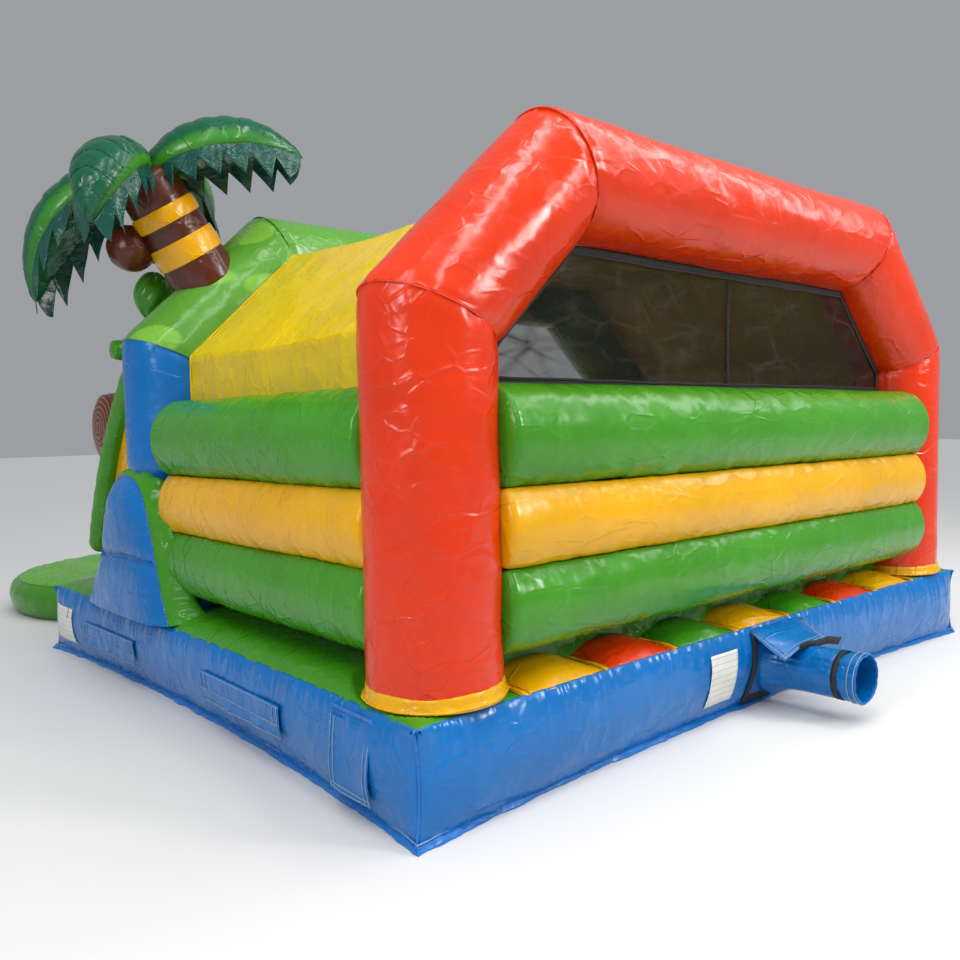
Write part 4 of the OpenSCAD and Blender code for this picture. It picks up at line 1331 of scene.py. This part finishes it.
# ---------------------------------------------------------------- slide, pad, log
def build_slide():
    low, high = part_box("slide_ramp")
    x1, x2 = low.x, high.x
    foot_y, foot_z, top_y, top_z = low.y, 0.545, -1.30, high.z
    prof = np.array([(foot_y, DECK - 0.01), (foot_y - 0.02, 0.52), (foot_y + 0.03, foot_z + 0.02), (-1.75, 0.865),
                     (top_y - 0.05, top_z - 0.02), (top_y + 0.08, top_z + 0.01), (-0.9, top_z + 0.012),
                     (-0.50, top_z - 0.01), (-0.28, 0.93), (-0.05, 0.69), (high.y - 0.03, DECK - 0.01)])
    at, line = resampled(prof, 170, 4)
    normal = plane_normals(line)
    n_x = 64
    rows = []
    for u in np.linspace(0, 1, n_x):
        lanes = np.abs(math.sin(u * 4 * math.pi)) ** 0.5 * 0.020
        h = lanes + 0.005 * (ridges(xyz(at * 9, u * 6, 0), 3, 3) - 0.3)
        yz = line + normal * (h - 0.012)[:, None]
        rows.append(xyz(x1 + (x2 - x1) * u, yz[:, 0], yz[:, 1]))
    top = grid_piece("slide_lane", np.stack(rows, 0), M["ochre"])
    skirts = []
    for x in (x1, x2):
        bottom = line.copy()
        bottom[:, 1] = DECK - 0.01
        edge = np.stack([xyz(x, line[:, 0], line[:, 1]), xyz(x, bottom[:, 0], bottom[:, 1])], 0)
        skirts.append(grid_piece("cheek", edge, M["ochre"]))
    slide = join("slide_lane", [top] + skirts)
    fix_normals(slide)
    stands_for(slide, "pvc_ochre", "slide_ramp")
    rails = []
    r_low, r_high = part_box("slide_rails")
    for x in (r_low.x + 0.075, r_high.x - 0.075):
        path = np.array([(foot_y + 0.03, foot_z + 0.10), (top_y, top_z + 0.12), (r_high.y - 0.03, top_z + 0.12)])
        n = 120
        aa, c = resampled(path, n, 8)
        phi = circle(40)
        rows = []
        for k in range(n):
            d = min(aa[k], aa[-1] - aa[k])
            r = 0.098 * math.sqrt(1 - max(0, 1 - d / 0.06) ** 2 * 0.96)
            wob = r * (1 + 0.03 * (ridges(xyz(phi * 2, aa[k] * 14, 0), 5, 2) - 0.4))
            rows.append(xyz(x + 0.78 * wob * np.cos(phi), c[k, 0], c[k, 1] + wob * np.sin(phi)))
        rails.append(grid_piece("rail", np.stack(rows, 0), M["blue"], closed_v=True, caps=True))
        side = np.stack([xyz(x + sx, c[:, 0], c[:, 1] * up + (DECK - 0.01) * (1 - up))
                         for sx, up in ((-0.066, 0), (-0.066, 1), (0.066, 1), (0.066, 0))], 1)
        rails.append(grid_piece("rail_web", side, M["blue"]))
    rail = join("slide_rail_tubes", rails)
    fix_normals(rail)
    stands_for(rail, "pvc_blue", "slide_rails")


def build_pad():
    low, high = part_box("landing_pad")
    r = (high.x - low.x) / 2
    cx, cy = (low.x + high.x) / 2, low.y + r
    neck = 0.70
    join_y = high.y
    open_angle = math.asin(neck / r)
    phi = np.linspace(math.pi / 2 + open_angle, math.pi / 2 - open_angle + TAU, 260)
    ring = np.stack([cx + r * np.cos(phi), cy + r * np.sin(phi)], 1)
    side_a = np.stack([np.full(20, cx + neck), np.linspace(ring[-1, 1], join_y, 21)[1:]], 1)
    across = np.stack([np.linspace(cx + neck, cx - neck, 31)[1:], np.full(30, join_y)], 1)
    side_b = np.stack([np.full(20, cx - neck), np.linspace(join_y, ring[0, 1], 21)[1:]], 1)
    outline = np.concatenate([ring, side_a, across, side_b])[:-1]
    n = len(outline)
    s = lengths(outline)
    centre = np.array([cx, cy])
    inward = (centre - outline)
    dist = np.linalg.norm(inward, axis=1, keepdims=True)
    inward = inward / dist
    rows = []
    top = high.z
    fold = ridges(xyz(s * 12, 0, 0), 3, 2) - 0.4
    for k, (u, z) in enumerate(((0.10, 0.001), (0.05, 0.010), (0.018, 0.05), (-0.006, 0.10), (-0.016, 0.16),
                                (-0.006, 0.215), (0.02, 0.262), (0.050, 0.286), (0.062, 0.292))):
        amount = 0.010 * (k >= 5) + 0.004 * (k in (2, 3, 4))
        rows.append(np.concatenate([outline + inward * (u + 0.012 - fold * amount)[:, None],
                                    np.full((n, 1), z * top / 0.31)], 1))
    for u in np.linspace(0.075, 1, 60):
        share = (u - 0.062) / 0.938
        xy = outline + inward * (0.062 + 0.012) + (centre - outline - inward * (0.062 + 0.012)) * share
        d = share * dist[:, 0]
        q = xyz(xy[:, 0], xy[:, 1], 0)
        dome = top * 0.955 + 0.050 * (1 - np.exp(-d / 0.12))
        wr = ridges(q * 4.6 + 0.25 * value_noise(q * 2, 3)[:, None], 21, 2) - 0.3
        wr2 = ridges(q * 11.0, 22, 2.0) - 0.3
        edge_fold = ridges(xyz(s * 9, d * 2, 0), 23, 2) - 0.35
        z = dome + (0.015 * wr + 0.010 * wr2) * np.clip(d / 0.08, 0,
                                                        1) + 0.014 * edge_fold * np.exp(-d / 0.16) * (d > 0.005)
        rows.append(np.concatenate([xy, np.minimum(z, top + 0.055)[:, None]], 1))
    pts = np.stack(rows, 0)
    pad = grid_piece("pad_top", pts, M["pad"], closed_v=True)
    mesh = pad.data
    mesh.materials.append(M["green"])
    index = [1 if i < 8 * n else 0 for i in range(len(mesh.polygons))]
    mesh.polygons.foreach_set("material_index", index)
    base = make_piece("pad_base", pts[0], [tuple(range(n))[::-1]], M["green"])
    pad = join("pad_cushion", [pad, base])
    fix_normals(pad)
    stands_for(pad, "pvc_green", "landing_pad")
    seam = cord_piece("pad_seam", pts[8] + np.array([0, 0, 0.001]), 0.006, M["green"], closed=True)
    stands_for(seam, "pvc_green")


def build_log():
    low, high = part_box("log_beam")
    c = (low + high) / 2
    r = (high.z - low.z) / 2
    p = tube_points((low.x, c.y, c.z), (high.x, c.y, c.z), r, ((low.x, c.y, c.z), (1, 0, 0)),
                    ((high.x - 0.012, c.y, c.z), (1, 0, 0)),
                    seed=17, pinch=(0.012, 0.012), gather=0.008, sag=0.006)
    bark = grid_piece("log_bark", p, M["bark"], closed_v=True)
    ends = []
    for k, ring in ((-1, p[0]), (1, p[-1])):
        centre = ring.mean(0)
        rows = []
        for rho in np.linspace(1, 0.004, 40):
            q = centre + (ring - centre) * rho
            q = q + np.array([k, 0, 0]) * 0.045 * (1 - rho ** 3)
            rows.append(q)
        ends.append(grid_piece("end", np.stack(rows, 0), M["rings"], closed_v=True, caps=False))
    log = join("log_tube", [bark] + ends)
    fix_normals(log)
    stands_for(log, "pvc_brown", "log_beam")
    pillars = []
    p_low, p_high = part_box("log_pillars")
    pr = (p_high.y - p_low.y) / 2
    for x in (p_low.x + pr, p_high.x - pr):
        y = (p_low.y + p_high.y) / 2
        foot, head = (x, y, DECK - 0.01), (x, y, c.z - r + 0.09)
        q = tube_points(foot, head, pr, (foot, (0, 0, 1)), (head, (0, 0, 1)),
                        seed=int(x * 31) + 5, gather=0.009, pinch=(0.02, 0.02))
        pillars.append(grid_piece("pillar", q, M["ochre"], closed_v=True, caps=True))
    pillar = join("log_pillar_tubes", pillars)
    fix_normals(pillar)
    stands_for(pillar, "pvc_ochre", "log_pillars")


# ---------------------------------------------------------------- palm tree
LEAN = math.radians(33)
TRUNK_DIR = np.array([math.sin(LEAN), 0, math.cos(LEAN)])
ROOT = np.array([(POST.x + ROOF_X) / 2, FRONT_Y, (BEND_Z + TOP_Z) / 2])
CROWN = ROOT + TRUNK_DIR * 0.90
TRUNK_R = 0.204


def trunk_radius(e):
    """Radius of the trunk at a distance e along it: a full foot, a little slimmer towards the top."""
    return TRUNK_R + 0.010 * np.exp(-((e - 0.25) / 0.10) ** 2) - 0.012 * np.clip((e - 0.4) / 0.5, 0, 1)


def build_trunk():
    base = ROOT + TRUNK_DIR * 0.10
    tip = ROOT + TRUNK_DIR * 0.95
    p = tube_points(base, tip, TRUNK_R, (base, TRUNK_DIR), (tip, TRUNK_DIR), step=0.014, seed=23, gather=0.009,
                    pinch=(0.02, 0.0), round_end=(0, 0.09))
    e = (p - ROOT) @ TRUNK_DIR
    swell = trunk_radius(e) - TRUNK_R
    for start, width in BAND_STARTS:
        for seam in (start, start + width):
            swell = swell - 0.006 * np.exp(-((e - seam) / 0.008) ** 2)
    axis_p = ROOT + e[..., None] * TRUNK_DIR
    away = p - axis_p
    p = axis_p + away * (1 + swell[..., None] / TRUNK_R)
    trunk = grid_piece("trunk", p, M["brown"], closed_v=True, caps=True)
    fix_normals(trunk)
    stands_for(trunk, "pvc_brown", "palm_trunk")
    bands = []
    _, e1, e2 = frame_of(TRUNK_DIR)
    phi = circle(120)
    for start, width in BAND_STARTS:
        rows = []
        for w in np.linspace(0, 1, 14):
            e = start + width * w
            r = trunk_radius(e) + 0.005 + 0.006 * math.sin(math.pi * w) ** 0.6 + 0.003 * value_noise(
                xyz(np.cos(phi) * 2, np.sin(phi) * 2, e * 9), 3)
            rows.append(ROOT + TRUNK_DIR * e + (np.cos(phi) * r)[:, None] * e1 + (np.sin(phi) * r)[:, None] * e2)
        bands.append(grid_piece("band", np.stack(rows, 0), M["ochre"], closed_v=True))
    band = join("trunk_band_rings", bands)
    fix_normals(band)
    stands_for(band, "pvc_ochre", "palm_bands")
    low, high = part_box("palm_coconuts")
    r = 0.150
    nuts = [lump("nut", (high.x - r, high.y - r, low.z + r), (r, r, r * 0.95), 0, M["brown"], n=36),
            lump("nut", (low.x + r, low.y + r, high.z - r), (r, r, r * 0.95), 0, M["brown"], n=36)]
    nut = join("coconut_balls", nuts)
    fix_normals(nut)
    stands_for(nut, "pvc_brown", "palm_coconuts")


# direction in plan, first and last slope, length: as the CAD leaves
LEAVES = [(150, 38, -22, 0.97), (40, 18, -93, 0.82), (-45, -12, -84, 1.10), (-135, 25, -65, 1.05)]
LEAF_W = 0.43
RIBS = 8                                              # on each half of a leaf


def leaf_spine(azimuth, first, last, length, n):
    """Points, headings and side direction of a leaf's arched spine."""
    e = np.radians(np.linspace(first, last, n))
    radius = length / math.radians(first - last)
    u = radius * (math.sin(e[0]) - np.sin(e))
    z = radius * (np.cos(e) - math.cos(e[0]))
    az = math.radians(azimuth)
    out = np.array([math.cos(az), math.sin(az), 0])
    side = np.array([-math.sin(az), math.cos(az), 0])
    start = CROWN + out * 0.04 + np.array([0, 0, 0.04])
    p = start + u[:, None] * out + z[:, None] * np.array([0, 0, 1.0])
    up = -np.sin(e)[:, None] * out + np.cos(e)[:, None] * np.array([0, 0, 1.0])
    return p, up, side


def build_leaves():
    for i, (az, first, last, length) in enumerate(LEAVES):
        n = 150
        p, up, side = leaf_spine(az, first, last, length, n)
        t = np.linspace(0, 1, n)
        taper = np.sin(math.pi * np.clip(t * 0.90 + 0.10, 0, 1)) ** 0.85
        half_w = LEAF_W / 2 * (0.86 if i == 1 else 1.0) * taper + 0.004
        thick = (0.130 if i == 1 else 0.165) * np.sin(math.pi * np.clip(t * 0.88 + 0.12, 0, 1)) ** 0.8 + 0.004
        n_r = 44
        phi = circle(n_r)
        rows, highlight_tint = [], []
        for k in range(n):
            c, s_ = np.cos(phi), np.sin(phi)
            # a rounded upper side, a flatter lower side and thin edges
            lateral = np.sign(c) * np.abs(c) ** 0.8
            vertical = np.where(s_ > 0, np.abs(s_) ** 0.9, -0.55 * np.abs(s_) ** 0.9)
            rib = np.abs(math.sin(math.pi * t[k] * 8)) ** 0.35
            slant = np.abs(np.sin(math.pi * (t[k] * 8.5 - 0.55 * np.abs(lateral) + 0.2))) ** 0.32
            h = thick[k] * (0.86 + 0.14 * slant)
            droop = -0.10 * half_w[k] * np.abs(lateral) ** 2
            q = xyz(lateral * half_w[k] * 9, t[k] * length * 9, vertical)
            wr = 0.006 * (ridges(q, i + 3, 3) - 0.3)
            pos = (p[k] + side * (lateral * half_w[k])[:, None]
                   + up[k] * (vertical * h + droop + wr * (rib > 0.2))[:, None])
            rows.append(pos)
            # painted highlight: lighter green along the rims of the leaf, full on its upper side, weaker underneath
            # and fading towards the tip
            edge = np.abs(lateral)
            band = np.clip((edge - 0.93) / 0.06, 0, 1) * min(1, 1.4 - 1.1 * t[k])
            highlight_tint.append(np.clip(band * np.where(s_ > -0.3, 1, 0.4), 0, 1))
        pts = np.stack(rows, 0)
        leaf = grid_piece(f"leaf_{i + 1}_pillow", pts, M["palm"], closed_v=True, caps=True)
        # the mask of the painted rim highlight is kept as a point attribute for the material
        mark = leaf.data.attributes.new("highlight_tint", "FLOAT", "POINT")
        mark.data.foreach_set("value", np.stack(highlight_tint, 0).reshape(-1))
        fix_normals(leaf)
        stands_for(leaf, "pvc_palm", f"palm_leaf_{i + 1}")
        # the ribs sewn over it
        ribs = []
        for j in range(1, RIBS + 1):
            for sgn in (-1, 1):
                line = []
                for lat in np.linspace(0.0, 0.97, 14):
                    tt = (j - 0.2 + 0.55 * lat) / 8.5
                    if tt >= 0.985:
                        continue
                    k = min(n - 1, int(tt * (n - 1)))
                    c_ang = math.acos(min(1, lat ** 1.25))
                    col = int(round((c_ang if sgn > 0 else math.pi - c_ang) / TAU * n_r)) % n_r
                    line.append(pts[k, col] + up[k] * 0.001)
                if len(line) > 4:
                    ln = np.array(line)
                    ln[1:-1] = (ln[:-2] + 2 * ln[1:-1] + ln[2:]) / 4
                    ribs.append(cord_piece("rib", ln, 0.0035, M["fringe"], n=5))
        stands_for(join(f"leaf_{i + 1}_ribs", ribs), "pvc_palm")
        build_fringe(i, p, up, side, half_w, t)


def build_fringe(i, p, up, side, half_w, t):
    """Flat zigzag fringes that hang from both edges of a leaf."""
    n_t = 240
    tt = np.linspace(0.10, 0.99, n_t)
    fringes = []
    for sgn in (-1, 1):
        top, low = [], []
        for v in tt:
            j = v * (len(t) - 1)
            a, f = int(j), j - int(j)
            b = min(a + 1, len(t) - 1)
            spine = p[a] * (1 - f) + p[b] * f
            u = up[a] * (1 - f) + up[b] * f
            w = half_w[a] * (1 - f) + half_w[b] * f
            edge = spine + side * sgn * w * 0.93 - u * w * 0.12
            phase = (v * 6.0) % 1.0
            tooth = phase if phase < 0.86 else (1 - phase) / 0.14 * 0.86
            depth = (0.080 + 0.165 * tooth) * min(1, (1 - v) / 0.10 + 0.25) * min(1, (v - 0.04) / 0.12)
            hang = np.array([0, 0, -1.0]) * 0.86 - u * 0.25 + side * sgn * (0.22 + 0.05 * math.sin(v * 40))
            hang /= np.linalg.norm(hang)
            top.append(edge)
            low.append(edge + hang * depth)
        top, low = np.array(top), np.array(low)
        rows = []
        for m in np.linspace(0, 1, 8):
            q = top + (low - top) * m
            wave = 0.010 * value_noise(xyz(tt * 14, m, i * 3 + sgn), 5) * m
            rows.append(q + side * wave[:, None])
        fringes.append(grid_piece("fringe", np.stack(rows, 1), M["fringe"]))
    fringe = join(f"leaf_{i + 1}_fringe", fringes)
    thicken(fringe, 0.002)
    stands_for(fringe, "pvc_palm")


# ---------------------------------------------------------------- camera, lights, floor
def make_camera():
    yaw, pitch, roll = (math.radians(a) for a in (41.27, 3.55, -1.10))
    forward = Vector((-math.sin(yaw) * math.cos(pitch), -math.cos(yaw) * math.cos(pitch), -math.sin(pitch)))
    right = forward.cross(Vector((0, 0, 1))).normalized()
    up = right.cross(forward)
    right, up = right * math.cos(roll) + up * math.sin(roll), up * math.cos(roll) - right * math.sin(roll)
    data = bpy.data.cameras.new("camera")
    data.lens, data.sensor_width = 33.5, 36
    cam = bpy.data.objects.new("camera", data)
    rotation = Matrix((right, up, -forward)).transposed()
    cam.matrix_world = Matrix.Translation((4.455, 4.852, 1.610)) @ rotation.to_4x4()
    bpy.context.scene.collection.objects.link(cam)
    bpy.context.scene.camera = cam


def area_light(name, place, target, width, height, power, colour=(1, 1, 1)):
    data = bpy.data.lights.new(name, "AREA")
    data.shape, data.size, data.size_y, data.energy, data.color = "RECTANGLE", width, height, power, colour
    light = bpy.data.objects.new(name, data)
    light.location = place
    light.rotation_euler = (Vector(target) - Vector(place)).to_track_quat("-Z", "Y").to_euler()
    bpy.context.scene.collection.objects.link(light)


def make_studio():
    world = bpy.data.worlds.new("studio")
    world.use_nodes = True
    world.node_tree.nodes["Background"].inputs[0].default_value = (0.93, 0.96, 1.0, 1)
    world.node_tree.nodes["Background"].inputs[1].default_value = 0.36
    bpy.context.scene.world = world
    sky = bpy.data.lights.new("sky", "SUN")
    sky.energy, sky.angle = 1.28, math.radians(70)
    sky = bpy.data.objects.new("sky", sky)
    sky.rotation_euler = (math.radians(-12), math.radians(5), 0)
    bpy.context.scene.collection.objects.link(sky)
    sky.visible_glossy = False
    for k, x in enumerate((-5.0, -1.5, 2.0, 5.5)):
        area_light(f"strip_{k}", (x, 3.5, 6.5), (x * 0.4, 0.5, 1.0), 0.25, 6.0, 110)
    area_light("key", (-3.5, 9.5, 5.5), (0, 0.5, 1.2), 2.0, 2.0, 400, (1.0, 0.98, 0.95))
    area_light("side", (10.0, 3.0, 4.5), (1.0, 0, 1.2), 1.6, 2.4, 190, (0.97, 0.98, 1.0))
    m, _, bsdf = nodes_of("studio_floor")
    bsdf.inputs["Base Color"].default_value = (0.66, 0.66, 0.66, 1)
    bsdf.inputs["Roughness"].default_value = 0.9
    s = 60
    floor = make_piece("floor", [(-s, -s, 0), (s, -s, 0), (s, s, 0), (-s, s, 0)], [(0, 1, 2, 3)], m, smooth=False)


make_camera()
make_studio()
build_skirt()
build_hem()
build_floor()
build_seam_bands()
build_arch("back", BACK_Y, "red", "red", DECK - 0.01)
build_arch("front", FRONT_Y, "blue", "print", DECK - 0.01)
build_collars()
build_walls()
build_roof()
build_window()
build_inlet()
build_patches()
build_corner_flap()
build_blower_flap()
build_labels()
build_buttresses()
build_wings()
build_slide()
build_pad()
build_log()
build_trunk()
build_leaves()

bpy.context.scene.view_settings.view_transform = "Standard"
